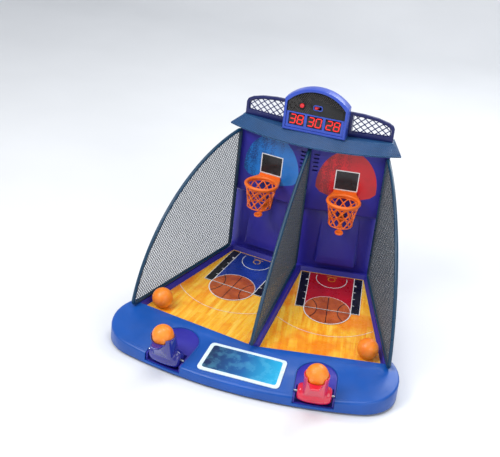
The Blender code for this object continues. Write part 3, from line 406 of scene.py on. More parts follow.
VIOLET = plastic("violet_plastic", "302C9E", 0.3, 0.44)
BLUE = plastic("blue_plastic", "0C50A8", 0.28, 0.42)
BLACK = plastic("pan_plastic", "141416", 0.45, 0.6, grain=0.00015)
NAVY_TUBE = plastic("tube_plastic", "0E3A55", 0.25, 0.4)
NAVY = plastic("header_plastic", "141C5A", 0.3, 0.42)
SCORE_BLUE = plastic("scoreboard_plastic", "3450B8", 0.28, 0.4)
PANEL = plastic("panel_plastic", "0B0B0D", 0.16, 0.3, edge_highlight_strength=0.15)
ORANGE = plastic("hoop_plastic", "F2701E", 0.28, 0.42)
CONTROL_RED = plastic("control_plastic", "D81E28", 0.2, 0.32, coat=0.3)
LAUNCHER_RED = plastic("red_launcher_plastic", "E0123C", 0.1, 0.2, coat=0.8, edge_highlight_strength=0.15)
LAUNCHER_BLUE = plastic("blue_launcher_plastic", "24268C", 0.1, 0.2, coat=0.8, edge_highlight_strength=0.15)
CONE = plastic("speaker_paper", "1C1C1E", 0.7, 0.85, grain=0.0002)
SWITCH_BLACK = plastic("switch_plastic", "18181A", 0.35, 0.5)
TEAL = canopy_plastic("canopy_plastic")
CORD = net_cord("net_cord")
STEEL = steel("plated_steel")
RUBBER = rubber("foot_rubber")
BALL = ball_plastic("ball_plastic")
WHITE_INK = ink("white_ink", "F4F4F0", "E2E4E8")
BLACK_INK = ink("black_ink", "0C0C10", "16161C")
BROWN_INK = ink("ball_ink", "C4622C", "9A4420", 40)
YELLOW_INK = ink("yellow_ink", "FFC83C", "F0A824")
CUT_EDGE = ink("board_edge", "D8D2C4", "C6BEAE", 200)


# Mesh helpers

def finish_mesh(name, bm, material, body, smooth=35):
    """Makes a piece that rides on a body. A smooth angle keeps harder edges sharp."""
    bmesh.ops.recalc_face_normals(bm, faces=bm.faces)
    mesh = bpy.data.meshes.new(name)
    bm.to_mesh(mesh)
    bm.free()
    for entry in material if isinstance(material, (list, tuple)) else [material]:
        mesh.materials.append(entry)
    if smooth:
        mesh.shade_smooth()
        mesh.set_sharp_from_angle(angle=math.radians(smooth))
    obj = bpy.data.objects.new(name, mesh)
    bpy.context.scene.collection.objects.link(obj)
    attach(obj, body)
    return obj


def skin(bm, rows, closed_rows=False, closed_ring=True, caps=True):
    """Faces between rows of points."""
    made = [[bm.verts.new(point) for point in row] for row in rows]
    pairs = list(zip(made, made[1:])) + ([(made[-1], made[0])] if closed_rows else [])
    count = len(made[0])
    for near, far in pairs:
        for k in range(count if closed_ring else count - 1):
            m = (k + 1) % count
            bm.faces.new((near[k], near[m], far[m], far[k]))
    if caps and not closed_rows:
        bm.faces.new(made[0])
        bm.faces.new(made[-1])
    return bm


def sweep(bm, points, radius, normal=None, sides=16, closed=False, flat=1.0):
    """A tube along a path. Radius is a number or one for each point; flat squashes it along the normal."""
    total = len(points)
    rows = []
    for i, here in enumerate(points):
        if closed:
            ahead = points[(i + 1) % total] - points[i - 1]
        else:
            ahead = points[min(i + 1, total - 1)] - points[max(i - 1, 0)]
        ahead = ahead.normalized()
        side = normal if normal is not None else (UP if abs(ahead.z) < 0.9 else Vector((1, 0, 0)))
        across = side.cross(ahead).normalized()
        up = ahead.cross(across)
        r = radius[i] if hasattr(radius, "__len__") else radius
        angles = [2 * math.pi * (k + 0.5) / sides for k in range(sides)]
        rows.append([here + across * (r * math.cos(a)) + up * (r * flat * math.sin(a)) for a in angles])
    return skin(bm, rows, closed_rows=closed)


def revolve(bm, profile, steps, matrix):
    """Turns a profile of (radius, height) about the matrix's z."""
    rows = []
    for radius, height in profile:
        angles = [2 * math.pi * k / steps for k in range(steps)]
        rows.append([matrix @ Vector((radius * math.cos(a), radius * math.sin(a), height)) for a in angles])
    return skin(bm, rows)


def frame_matrix(centre, x, y, z):
    made = Matrix((x, y, z)).transposed().to_4x4()
    made.translation = centre
    return made


def slab(bm, outline, front, back, place):
    """A plate over a flat outline, between two depths; place turns (x, z, depth) into a point."""
    return skin(bm, [[place(x, z, front) for x, z in outline], [place(x, z, back) for x, z in outline]])


def arc(cx, cy, rx, ry, start, end, count):
    """Points of an elliptical arc, between two angles in degrees."""
    turns = [math.radians(start + (end - start) * k / count) for k in range(count + 1)]
    return [(cx + rx * math.cos(a), cy + ry * math.sin(a)) for a in turns]


def rounded(points, radius, count=6):
    result = []
    total = len(points)
    for i in range(total):
        corner = Vector(points[i])
        before = (Vector(points[i - 1]) - corner).normalized()
        after = (Vector(points[(i + 1) % total]) - corner).normalized()
        reach = radius / math.tan(before.angle(after) / 2)
        first, last = corner + before * reach, corner + after * reach
        for k in range(count + 1):
            t = k / count
            point = first * (1 - t) ** 2 + corner * 2 * t * (1 - t) + last * t ** 2
            result.append((point.x, point.y))
    return result


class Print:
    """Flat shapes laid over each other like layers of ink, as one piece."""

    def __init__(self, place):
        self.place = place
        self.bm = bmesh.new()
        self.looks = []
        self.layer = 1

    def shape(self, outline, look):
        if look not in self.looks:
            self.looks.append(look)
        verts = [self.bm.verts.new(self.place(x, y, self.layer * LAYER)) for x, y in outline]
        face = self.bm.faces.new(verts)
        face.material_index = self.looks.index(look)
        self.layer += 1

    def stroke(self, points, width, look, closed=False):
        """A line of even width along the points."""
        if look not in self.looks:
            self.looks.append(look)
        path = [Vector(point) for point in points]
        total = len(path)
        rows = []
        for i, here in enumerate(path):
            before = path[i - 1] if closed or i else here
            after = path[(i + 1) % total] if closed or i < total - 1 else here
            run = (after - before).normalized()
            off = Vector((-run.y, run.x)) * width / 2
            rise = self.layer * LAYER
            rows.append([self.bm.verts.new(self.place(*(here + off * k), rise)) for k in (1, -1)])
        pairs = list(zip(rows, rows[1:])) + ([(rows[-1], rows[0])] if closed else [])
        for near, far in pairs:
            face = self.bm.faces.new((near[0], near[1], far[1], far[0]))
            face.material_index = self.looks.index(look)
        self.layer += 1

    def done(self, name, body, facing):
        for face in self.bm.faces:
            face.normal_update()
            if face.normal.dot(facing) < 0:
                face.normal_flip()
        mesh = bpy.data.meshes.new(name)
        self.bm.to_mesh(mesh)
        self.bm.free()
        for look in self.looks:
            mesh.materials.append(look)
        obj = bpy.data.objects.new(name, mesh)
        bpy.context.scene.collection.objects.link(obj)
        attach(obj, body)
        return obj


# CAD nodes that stay

def smoothing_group():
    """A modifier that shades a mesh smooth except at its sharper edges."""
    group = bpy.data.node_groups.new("smooth_by_angle", "GeometryNodeTree")
    group.interface.new_socket("Geometry", in_out="INPUT", socket_type="NodeSocketGeometry")
    group.interface.new_socket("Geometry", in_out="OUTPUT", socket_type="NodeSocketGeometry")
    add = group.nodes.new
    start, end = add("NodeGroupInput"), add("NodeGroupOutput")
    clear = add("GeometryNodeRemoveAttribute")
    clear.inputs["Name"].default_value = "custom_normal"
    flags = add("GeometryNodeRemoveAttribute")
    flags.inputs["Name"].default_value = "sharp_edge"
    faces = add("GeometryNodeSetShadeSmooth")
    edges = add("GeometryNodeSetShadeSmooth")
    edges.domain = "EDGE"
    angle = add("GeometryNodeInputMeshEdgeAngle")
    sharp = add("FunctionNodeCompare")
    sharp.data_type = "FLOAT"
    sharp.operation = "GREATER_THAN"
    sharp.inputs["B"].default_value = math.radians(32)
    edges.inputs["Shade Smooth"].default_value = False
    join = group.links.new
    join(start.outputs[0], clear.inputs[0])
    join(clear.outputs[0], flags.inputs[0])
    join(flags.outputs[0], faces.inputs[0])
    join(faces.outputs[0], edges.inputs[0])
    join(angle.outputs["Unsigned Angle"], sharp.inputs["A"])
    join(sharp.outputs[0], edges.inputs["Selection"])
    join(edges.outputs[0], end.inputs[0])
    return group


SMOOTHING = smoothing_group()


def refine(node, material, bevel=0.0006, segments=2):
    """Gives a CAD node its material, rounded edges and even shading."""
    obj = NODES[node]
    obj.data.materials.clear()
    obj.data.materials.append(material)
    weld = obj.modifiers.new("weld", "WELD")
    weld.merge_threshold = 0.00001
    flat = obj.modifiers.new("flat", "DECIMATE")
    flat.decimate_type = "DISSOLVE"
    flat.angle_limit = math.radians(0.5)
    if bevel:
        edge = obj.modifiers.new("edge", "BEVEL")
        edge.width = bevel
        edge.segments = segments
        edge.limit_method = "ANGLE"
        edge.angle_limit = math.radians(32)
    smooth = obj.modifiers.new("smooth", "NODES")
    smooth.node_group = SMOOTHING


def both(name):
    return ["left_" + name, "right_" + name]


def refine_cad():
    covers = ["base_shell", "tower_rear_cover", "scoreboard_rear_cover"]
    for node in covers + both("back_wall") + both("backboard"):
        refine(node, VIOLET)
    for node in both("launcher_cradle"):
        refine(node, VIOLET, 0.0005)
    refine("front_apron", BLUE, 0.0004)
    refine("bottom_pan", BLACK, 0.0004)
    refine("battery_door", BLACK, 0.0005)
    refine("canopy", TEAL, 0.0005)
    for node in both("header_frame"):
        refine(node, NAVY, 0.0008, 3)
    for node in both("header_grille"):
        refine(node, NAVY, 0.0003)
    refine("scoreboard_housing", SCORE_BLUE, 0.0004)
    refine("scoreboard_panel", PANEL, 0.0002)
    for node in ("left_display", "centre_display", "right_display"):
        refine(node, ink("window_tint_" + node, "1A0406", "240608", 200, 0.1, 0.18), 0.0002)
    refine("circuit_board", circuit("circuit_board_lacquer"), 0.0002)
    refine("speaker", CONE, 0.0002)
    for node in both("launcher_pin") + both("launcher_spring") + both("paddle_pin"):
        refine(node, STEEL, 0)
    for node in both("score_switch"):
        refine(node, SWITCH_BLACK, 0.0003)
    for node in both("battery"):
        refine(node, battery_look(node + "_wrap"), 0.0002)
    for node in both("front_foot") + ["rear_foot_strip"]:
        refine(node, RUBBER, 0.0005)
    for node in both("court_board"):
        refine(node, CUT_EDGE, 0.0003)
    refine("label_plate", ink("label_card", "E8F4F8", "D4E8F0", 120), 0.0005, 3)
    refine("power_switch_knob", CONTROL_RED, 0.0004)


refine_cad()

# Printed court and backboards

KEY_HALF = 0.044
STRIP_OUTER = 0.0605
KEY_END = 0.146
PRINT_BACK = 0.2665
BALL_PRINT = (0.0, 0.1455, 0.0435)
LINE = 0.0013
THIN_LINE = 0.0010
FIRST_TICK = 0.027            # from the free-throw line
TICK_PITCH = 0.0225
TICK_LENGTH = 0.0052
BLOCK_WIDTH = 0.0046          # the fourth mark is a block


# A basketball's seams, in ball radii: two straight ones, and a curved one on each side
SEAM_CENTRE = 1.4
SEAM_RADIUS = 0.95


def ball_seams():
    cosine = (SEAM_CENTRE ** 2 + SEAM_RADIUS ** 2 - 1) / (2 * SEAM_CENTRE * SEAM_RADIUS)
    spread = math.degrees(math.acos(cosine))
    curved = arc(SEAM_CENTRE, 0, SEAM_RADIUS, SEAM_RADIUS, 180 - spread, 180 + spread, 24)
    return [[(-1, 0), (1, 0)], [(0, -1), (0, 1)], curved, [(-x, y) for x, y in curved]]


def print_ball(sheet, centre, radius, body_look, line_look, width):
    sheet.shape(arc(*centre, radius, radius, 0, 360, 56)[:-1], body_look)
    for seam in ball_seams():
        line = [(centre[0] + radius * x, centre[1] + radius * y) for x, y in seam]
        sheet.stroke(line, width, line_look)


def court_print(lane):
    key_codes = ("C41A22", "A0121C") if lane.side > 0 else ("1C3C9C", "142C74")
    key_ink = ink(lane.name + "_key", *key_codes, 26, share=0.9)
    # The same picture lies on both courts, so here x runs to the player's right on both.
    sheet = Print(lambda x, y, rise: lane.court(lane.side * x, y, rise))
    margin = 0.0004

    def half(y):
        return COURT_HALF_FRONT - TAPER * y - margin

    near, far = margin, COURT_LENGTH - margin
    board = [(-half(near), near), (half(near), near), (half(far), far), (-half(far), far)]
    sheet.shape(board, court_wood(lane))
    for side in (-1, 1):
        inner, outer = side * KEY_HALF, side * STRIP_OUTER
        back = min(PRINT_BACK, far)
        outline = [(inner, KEY_END), (outer, KEY_END), (side * min(STRIP_OUTER, half(back)), back)]
        sheet.shape(outline + [(inner, back)], BLACK_INK)
        sheet.stroke(outline, THIN_LINE, WHITE_INK)
    sheet.shape([(-KEY_HALF, KEY_END), (KEY_HALF, KEY_END), (KEY_HALF, PRINT_BACK), (-KEY_HALF, PRINT_BACK)],
                key_ink)
    for side in (-1, 1):
        sheet.stroke([(side * KEY_HALF, KEY_END), (side * KEY_HALF, PRINT_BACK)], LINE, WHITE_INK)
        for k in range(4):
            y = KEY_END + FIRST_TICK + TICK_PITCH * k
            tick = [(side * KEY_HALF, y), (side * (KEY_HALF + TICK_LENGTH), y)]
            sheet.stroke(tick, BLOCK_WIDTH if k == 3 else LINE, WHITE_INK)
    sheet.stroke(arc(0, 0.2525, 0.030, 0.0305, 165, 375, 32), LINE, WHITE_INK)
    sheet.stroke(arc(0, 0.2505, 0.0068, 0.0068, 0, 360, 24)[:-1], 0.001, YELLOW_INK, closed=True)
    sheet.stroke([(-0.010, 0.2590), (0.010, 0.2590)], 0.0011, YELLOW_INK)
    three = arc(0, 0.252, 0.150, 0.187, 232, 308, 40)
    sheet.stroke([(x, y) for x, y in three if abs(x) < half(y)], 0.0009, WHITE_INK)
    cx, cy, radius = BALL_PRINT
    print_ball(sheet, (cx, cy), radius, BROWN_INK, BLACK_INK, 0.0015)
    sheet.stroke(arc(cx, cy, radius + 0.0004, radius + 0.0004, 175, 365, 40), 0.0016, WHITE_INK)
    sheet.stroke(arc(cx, cy, radius + 0.0002, radius + 0.0002, 5, 175, 40), 0.0008, WHITE_INK)
    sheet.stroke([(-STRIP_OUTER, KEY_END), (STRIP_OUTER, KEY_END)], THIN_LINE, WHITE_INK)
    sheet.done(lane.name + "_court_print", MACHINE, UP)


def board_print(lane):
    """A dome of colour behind the hoop, with the white square over it."""
    red = lane.side > 0
    base = halftone(lane.name + "_dome_ink", "D81C28" if red else "1877CC", "7A0C18" if red else "0B2C70",
                    lane, Vector((-1, 0.15) if red else (0.8, 0.6)))
    sheet = Print(lane.board)
    top = arc(0, 0.250, 0.0575, 0.0725, 0, 180, 40)
    corners = [(0.0575, 0.243), (0.048, 0.2335), (0.022, 0.2245)]
    low = [(-x, z) for x, z in corners] + corners[::-1]
    sheet.shape(top + low, base)
    square = [(-0.0225, 0.2425), (0.0225, 0.2425), (0.0225, 0.2825), (-0.0225, 0.2825)]
    sheet.shape(rounded(square, 0.0006, 2), WHITE_INK)
    sheet.shape([(-0.0207, 0.2443), (0.0207, 0.2443), (0.0207, 0.2807), (-0.0207, 0.2807)], BLACK_INK)
    sheet.done(lane.name + "_backboard_print", MACHINE, -lane.along)


# Nets

SIDE_ARC = (0.3168, -0.017, 0.3415)
DIVIDER_ARC = (0.4812, -0.290, 0.689)
NET_PITCH = 0.0042
NET_CORD = 0.0007


def round_corner(before, corner, after, radius=0.009, count=7):
    corner = Vector(corner)
    first = corner + (Vector(before) - corner).normalized() * radius
    last = corner + (Vector(after) - corner).normalized() * radius
    steps = [k / count for k in range(count + 1)]
    return [tuple(first * (1 - t) ** 2 + corner * 2 * t * (1 - t) + last * t ** 2) for t in steps]


def net_path(arc_of, rear, rail, count=40):
    """The tube's centre line in the net's plane: the front arc, the rear upright and the bottom rail."""
    cx, cz, radius = arc_of

    def on_arc(z):
        return cx - math.sqrt(radius ** 2 - (z - cz) ** 2)

    foot_z = rail(on_arc(0.05))
    foot = (on_arc(foot_z), foot_z)
    top = (rear, cz + math.sqrt(radius ** 2 - (rear - cx) ** 2))
    bottom = (rear, rail(rear))
    low = 180 - math.degrees(math.asin((foot_z + 0.012 - cz) / radius))
    high = 90 + math.degrees(math.asin((cx - rear + 0.012) / radius))
    curve = arc(cx, cz, radius, radius, low, high, count)
    return (round_corner(bottom, foot, curve[0]) + curve + round_corner(curve[-1], top, bottom)
            + round_corner(top, bottom, foot))


def crossings(outline, origin, run):
    """Where a line meets an outline, as distances along the line, in order."""
    found = []
    across = Vector((-run.y, run.x))
    for i, end in enumerate(outline):
        a, b = Vector(outline[i - 1]) - origin, Vector(end) - origin
        da, db = a.dot(across), b.dot(across)
        if (da > 0) != (db > 0):
            found.append((a + (b - a) * (da / (da - db))).dot(run))
    return sorted(found)


def net(name, path, place, normal):
    """Two sets of cords woven over and under each other inside the tube."""
    inner = [tuple(point) for point in shrink(path, TUBE * 0.6)]
    bm = bmesh.new()
    xs, zs = [p[0] for p in inner], [p[1] for p in inner]
    centre = Vector(((min(xs) + max(xs)) / 2, (min(zs) + max(zs)) / 2))
    reach = int(0.22 / NET_PITCH) + 1
    for which, tilt in enumerate((56, -56)):
        run = Vector((math.cos(math.radians(tilt)), math.sin(math.radians(tilt))))
        across = Vector((-run.y, run.x))
        other = math.radians(-2 * tilt) if which == 0 else math.radians(2 * tilt)
        step = NET_PITCH / abs(math.sin(other))
        for k in range(-reach, reach + 1):
            origin = centre + across * (k * NET_PITCH)
            ends = crossings(inner, origin, run)
            for start, end in zip(ends[::2], ends[1::2]):
                if end - start < 2 * step:
                    continue
                shift = k * NET_PITCH / math.tan(other)
                first = math.ceil((start - shift) / step)
                last = math.floor((end - shift) / step)
                stops = [(start, 0)]
                stops += [(shift + step * m, 1 if (m + k + which) % 2 else -1) for m in range(first, last + 1)
                          if start + 0.0004 < shift + step * m < end - 0.0004]
                stops.append((end, 0))
                points = []
                for distance, lift in stops:
                    spot = origin + run * distance
                    points.append(place(spot.x, spot.y) + normal * (lift * NET_CORD * 0.42))
                sweep(bm, points, NET_CORD, normal, sides=4, flat=0.6)
    piece = finish_mesh(name + "_mesh", bm, CORD, MACHINE, 50)
    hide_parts(name)
    width, height = max(xs) - min(xs), max(zs) - min(zs)


def shrink(points, distance):
    result = []
    total = len(points)
    for i in range(total):
        run = (Vector(points[(i + 1) % total]) - Vector(points[i - 1])).normalized()
        result.append(Vector(points[i]) + Vector((run.y, -run.x)) * distance)
    return result


def net_tube(name, path, place, normal):
    """The moulded tube, with a seam along it."""
    bm = bmesh.new()
    points = [place(*point) for point in path]
    sweep(bm, points, TUBE, normal, sides=20, closed=True)
    piece = finish_mesh(name + "_tube", bm, NAVY_TUBE, MACHINE, 60)
    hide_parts(name + "_frame")
    bm = bmesh.new()
    hem = [place(*point) for point in shrink(path, TUBE * 0.93)]
    sweep(bm, hem, 0.0007, normal, sides=8, closed=True)
    finish_mesh(name + "_hem", bm, CORD, MACHINE, 60)


def nets():
    for lane in LANES:
        inner = KERB / 2 + 0.001
        start = lane.point(COURT_HALF_FRONT + inner, 0.0, 0)
        end = lane.point(TOWER_HALF - TUBE - 0.0005, 0.2625, 0)
        run = (end - start).normalized()
        length = (end - start).length
        normal = run.cross(UP)

        def place(u, z, start=start, run=run):
            return start + run * u + UP * z

        def rail(u, lane=lane, place=place):
            spot = place(u, 0) - lane.origin
            return COURT_FRONT_Z + KERB_RISE + COURT_SLOPE * spot.dot(lane.along) + TUBE + 0.0008

        path = net_path(SIDE_ARC, length, rail)
        net_tube(lane.name + "_side_net", path, place, normal)
        net(lane.name + "_side_net", path, place, normal)
    lane = LANES[1]

    def middle(u, z):
        return Vector((0, u, z))

    def middle_rail(u):
        spot = Vector((0, u, 0)) - lane.origin
        return COURT_FRONT_Z + KERB_RISE + COURT_SLOPE * spot.dot(lane.along) + TUBE + 0.0008

    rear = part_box("divider_net_frame")[1].y - TUBE
    path = net_path(DIVIDER_ARC, rear, middle_rail)
    net_tube("divider_net", path, middle, Vector((1, 0, 0)))
    net("divider_net", path, middle, Vector((1, 0, 0)))


# Hoops

HOOP = (0.0, 0.229, 0.236)
RING_RADIUS = 0.0298
RING_TUBE = 0.0032
BRACKET_HALF = 0.022
BASKET_HEIGHT = 0.043
BASKET_BOTTOM = 0.0222


def hoop(lane):
    centre = lane.point(*HOOP)
    bm = bmesh.new()
    ring = []
    for k in range(64):
        a = 2 * math.pi * k / 64
        ring.append(centre + (lane.across * math.cos(a) + lane.along * math.sin(a)) * RING_RADIUS)
    sweep(bm, ring, RING_TUBE, UP, sides=20, closed=True)
    back = BOARD_FRONT - 0.0003
    reach = math.sqrt(RING_RADIUS ** 2 - 0.0275 ** 2)
    start = math.degrees(math.atan2(reach, -0.0275))
    outline = [(-BRACKET_HALF, back), (-0.0305, HOOP[1] + reach), (-0.0275, HOOP[1] + reach)]
    outline += arc(0, HOOP[1], RING_RADIUS, RING_RADIUS, start, 180 - start, 24)[1:-1]
    outline += [(0.0275, HOOP[1] + reach), (0.0305, HOOP[1] + reach), (BRACKET_HALF, back)]
    skin(bm, [[lane.point(x, y, HOOP[2] + z) for x, y in outline] for z in (-0.0022, 0.0022)])
    plate = rounded([(-BRACKET_HALF, HOOP[2] - 0.008), (BRACKET_HALF, HOOP[2] - 0.008),
                     (BRACKET_HALF, HOOP[2] + 0.0065), (-BRACKET_HALF, HOOP[2] + 0.0065)], 0.0022)
    slab(bm, plate, back - 0.003, back, lambda x, z, y: lane.point(x, y, z))
    for x in (-0.0145, 0.0145):
        rib = [(0.2555, HOOP[2] - 0.001), (back - 0.001, HOOP[2] - 0.001), (back - 0.001, HOOP[2] - 0.0075)]
        skin(bm, [[lane.point(x + d, y, z) for y, z in rib] for d in (-0.001, 0.001)])
    piece = finish_mesh(lane.name + "_hoop_rim", bm, ORANGE, MACHINE, 40)
    soften(piece, 0.0005)
    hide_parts(lane.name + "_rim")
    basket(lane)
    paddle(lane)


def soften(piece, width, segments=2):
    edge = piece.modifiers.new("edge", "BEVEL")
    edge.width = width
    edge.segments = segments
    edge.limit_method = "ANGLE"
    edge.angle_limit = math.radians(40)
    edge.harden_normals = True


def basket(lane):
    """A moulded lattice: struts that cross on a narrowing wall, with a band at each end."""
    around, rows, steps = 10, 4, 5
    top = HOOP[2] - RING_TUBE - 0.0003
    bm = bmesh.new()

    def wall(angle, share):
        radius = BASKET_BOTTOM + (RING_RADIUS - 0.0008 - BASKET_BOTTOM) * share ** 1.6
        direction = lane.across * math.cos(angle) + lane.along * math.sin(angle)
        z = top - 0.0009 - (BASKET_HEIGHT - 0.0018) * (1 - share)
        return lane.point(HOOP[0], HOOP[1], z) + direction * radius

    for turn in (-1, 1):
        for k in range(around):
            start = 2 * math.pi * k / around
            points = [wall(start + turn * math.pi / around * m / steps, m / (rows * steps))
                      for m in range(rows * steps + 1)]
            radii = [0.00105 + 0.00045 * abs(math.cos(math.pi * m / steps)) for m in range(rows * steps + 1)]
            sweep(bm, points, radii, sides=10)
    for share in (0.0, 1.0):
        band = [wall(2 * math.pi * k / 60, share) for k in range(60)]
        sweep(bm, band, 0.0011, UP, sides=10, closed=True)
    piece = finish_mesh(lane.name + "_hoop_basket", bm, ORANGE, MACHINE, 70)
    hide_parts(lane.name + "_basket")


def paddle(lane):
    """The flap under the basket that a falling ball pushes down."""
    hinge = JOINTS[lane.name + "_score_paddle_tilt"]
    pivot = Vector(hinge["pos_m"])
    disc = lane.point(0, 0.229, 0.172)
    run = (disc - pivot).normalized()
    across = lane.across
    normal = across.cross(run)
    if normal.z < 0:
        normal = -normal
    bm = bmesh.new()
    profile = [(0.0004, -0.0019), (0.0068, -0.0019), (0.0078, -0.0012), (0.008, 0.0), (0.0078, 0.0012),
               (0.0068, 0.0019), (0.0055, 0.0019), (0.0048, 0.0014), (0.0004, 0.0014)]
    revolve(bm, profile, 40, frame_matrix(disc, across, normal.cross(across), normal))
    length = (disc - pivot).length
    outline = [(0.003, length - 0.007), (0.0046, 0.020), (0.0048, -0.0085),
               (-0.0048, -0.0085), (-0.0046, 0.020),
               (-0.003, length - 0.007)]
    skin(bm, [[pivot + across * x + run * y + normal * z for x, y in outline] for z in (-0.0016, 0.0016)])
    spine = [pivot + run * y + normal * 0.0016 for y in (0.006, 0.020, 0.036, length - 0.008)]
    sweep(bm, spine, [0.0012, 0.001, 0.0009, 0.0008], across, sides=8)
    revolve(bm, [(0.0011, -0.0044), (0.0031, -0.0044), (0.0033, -0.004), (0.0033, 0.004), (0.0031, 0.0044),
                 (0.0011, 0.0044)], 20, frame_matrix(pivot, run, normal, across))
    piece = finish_mesh(lane.name + "_paddle", bm, ORANGE, lane.name + "_paddle_body", 40)
    soften(piece, 0.0003)
    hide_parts(lane.name + "_score_paddle")


# Balls and launchers

def ball_centre(node):
    low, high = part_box(node)
    return (low + high) / 2


def ball(node, seed):
    """A hollow ball of two halves, with a fine moulding seam."""
    rng = random.Random(seed)
    axis = Vector((rng.uniform(-1, 1), rng.uniform(-1, 1), rng.uniform(-1, 1))).normalized()
    side = axis.orthogonal().normalized()
    bm = bmesh.new()
    profile = []
    count = 48
    for k in range(count + 1):
        angle = math.pi * k / count
        dip = 0.00012 * math.exp(-((angle - math.pi / 2) / 0.012) ** 2)
        reach = BALL_RADIUS - dip
        profile.append((reach * max(math.sin(angle), 0.004), -reach * math.cos(angle)))
    extra = [((BALL_RADIUS - d) * math.cos(a), (BALL_RADIUS - d) * math.sin(a))
             for a, d in ((-0.02, 0.0), (-0.008, 0.00012), (0.008, 0.00012), (0.02, 0.0))]
    profile = profile[:count // 2] + extra + profile[count // 2 + 1:]
    revolve(bm, profile, 64, frame_matrix(ball_centre(node), side, axis.cross(side), axis))
    piece = finish_mesh(node + "_shell", bm, BALL, node + "_body", 60)
    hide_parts(node)


def launcher(lane):
    """The launcher's moulding, remade from its solid with soft edges."""
    node = lane.name + "_launcher"
    source = NODES[node]
    mesh = source.data.copy()
    mesh.name = node + "_moulding"
    mesh.materials.clear()
    mesh.materials.append(LAUNCHER_RED if lane.side > 0 else LAUNCHER_BLUE)
    obj = bpy.data.objects.new(node + "_moulding", mesh)
    bpy.context.scene.collection.objects.link(obj)
    weld = obj.modifiers.new("weld", "WELD")
    weld.merge_threshold = 0.00001
    remesh = obj.modifiers.new("remesh", "REMESH")
    remesh.mode = "VOXEL"
    remesh.voxel_size = 0.00075
    remesh.use_smooth_shade = True
    relax = obj.modifiers.new("relax", "CORRECTIVE_SMOOTH")
    relax.iterations = 26
    relax.use_only_smooth = True
    graph = bpy.context.evaluated_depsgraph_get()
    baked = bpy.data.meshes.new_from_object(obj.evaluated_get(graph))
    obj.modifiers.clear()
    if "custom_normal" in baked.attributes:
        baked.attributes.remove(baked.attributes["custom_normal"])
    obj.data = baked
    baked.shade_smooth()
    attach(obj, node + "_body")
    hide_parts(node)


# Scoreboard

SEGMENTS = {"0": "abcdef", "1": "bc", "2": "abged", "3": "abgcd", "4": "fgbc", "5": "afgcd", "6": "afgedc",
            "7": "abc", "8": "abcdefg", "9": "abfgcd"}
DIGIT_HALF = (0.0049, 0.0083)
DIGIT_SLANT = 0.12
SEGMENT = 0.00095


def segment_outline(letter):
    """A segment's hexagon round the digit's middle."""
    w, h = DIGIT_HALF
    ends = {"a": ((-w, h), (w, h)), "g": ((-w, 0), (w, 0)), "d": ((-w, -h), (w, -h)),
            "f": ((-w, 0), (-w, h)), "b": ((w, 0), (w, h)), "e": ((-w, -h), (-w, 0)), "c": ((w, -h), (w, 0))}
    first, last = [Vector(p) for p in ends[letter]]
    run = (last - first).normalized()
    off = Vector((-run.y, run.x)) * SEGMENT
    first, last = first + run * 0.0003, last - run * 0.0003
    points = [first, first + run * SEGMENT + off, last - run * SEGMENT + off, last,
              last - run * SEGMENT - off, first + run * SEGMENT - off]
    return [(p.x + DIGIT_SLANT * p.y, p.y) for p in points]


def displays():
    lit = glow("lit_segment", "E81C1C", 0.9)
    unlit = ink("unlit_segment", "2A070A", "33090C", 300)
    for node, text in (("left_display", "38"), ("centre_display", "30"), ("right_display", "28")):
        low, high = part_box(node)
        middle = (low + high) / 2
        bm = bmesh.new()
        for index, digit in enumerate(text):
            x = middle.x + (index - 0.5) * 0.0142
            for letter in "abcdefg":
                on = letter in SEGMENTS[digit]
                before = len(bm.faces)
                outline = segment_outline(letter)
                slab(bm, outline, low.y - (0.0003 if on else 0.0001), low.y + 0.0002,
                     lambda u, v, y, x=x: Vector((x + u, y, middle.z + v)))
                bm.faces.ensure_lookup_table()
                for face in bm.faces[before:]:
                    face.material_index = 0 if on else 1
        finish_mesh(node + "_digits", bm, [lit, unlit], MACHINE, 0)
    frames()


SURROUND_END = 0.0049         # how far the surround reaches past the outer windows


def frames():
    """The blue surround that separates the three windows."""
    low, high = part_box("left_display")
    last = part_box("right_display")[1]
    front = low.y - 0.0012
    side = 0.0024
    bm = bmesh.new()
    z0, z1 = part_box("scoreboard_panel")[0].z + 0.0006, high.z + side
    left, right = low.x - SURROUND_END, last.x + SURROUND_END
    bars = [((left, z0), (right, low.z)), ((left, high.z), (right, z1))]
    gaps = [(left, low.x), (high.x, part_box("centre_display")[0].x),
            (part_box("centre_display")[1].x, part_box("right_display")[0].x), (last.x, right)]
    bars += [((a, low.z), (b, high.z)) for a, b in gaps]
    for (x0, za), (x1, zb) in bars:
        outline = [(x0, za), (x1, za), (x1, zb), (x0, zb)]
        slab(bm, outline, front, low.y - 0.00045, lambda x, z, y: Vector((x, y, z)))
    bmesh.ops.remove_doubles(bm, verts=bm.verts, dist=0.00001)
    finish_mesh("display_surround", bm, SCORE_BLUE, MACHINE, 0)


DOT_PROFILE = ((0.00105, -0.00005), (0.00105, 0.00018), (0.0006, 0.00018), (0.0006, -0.00005))


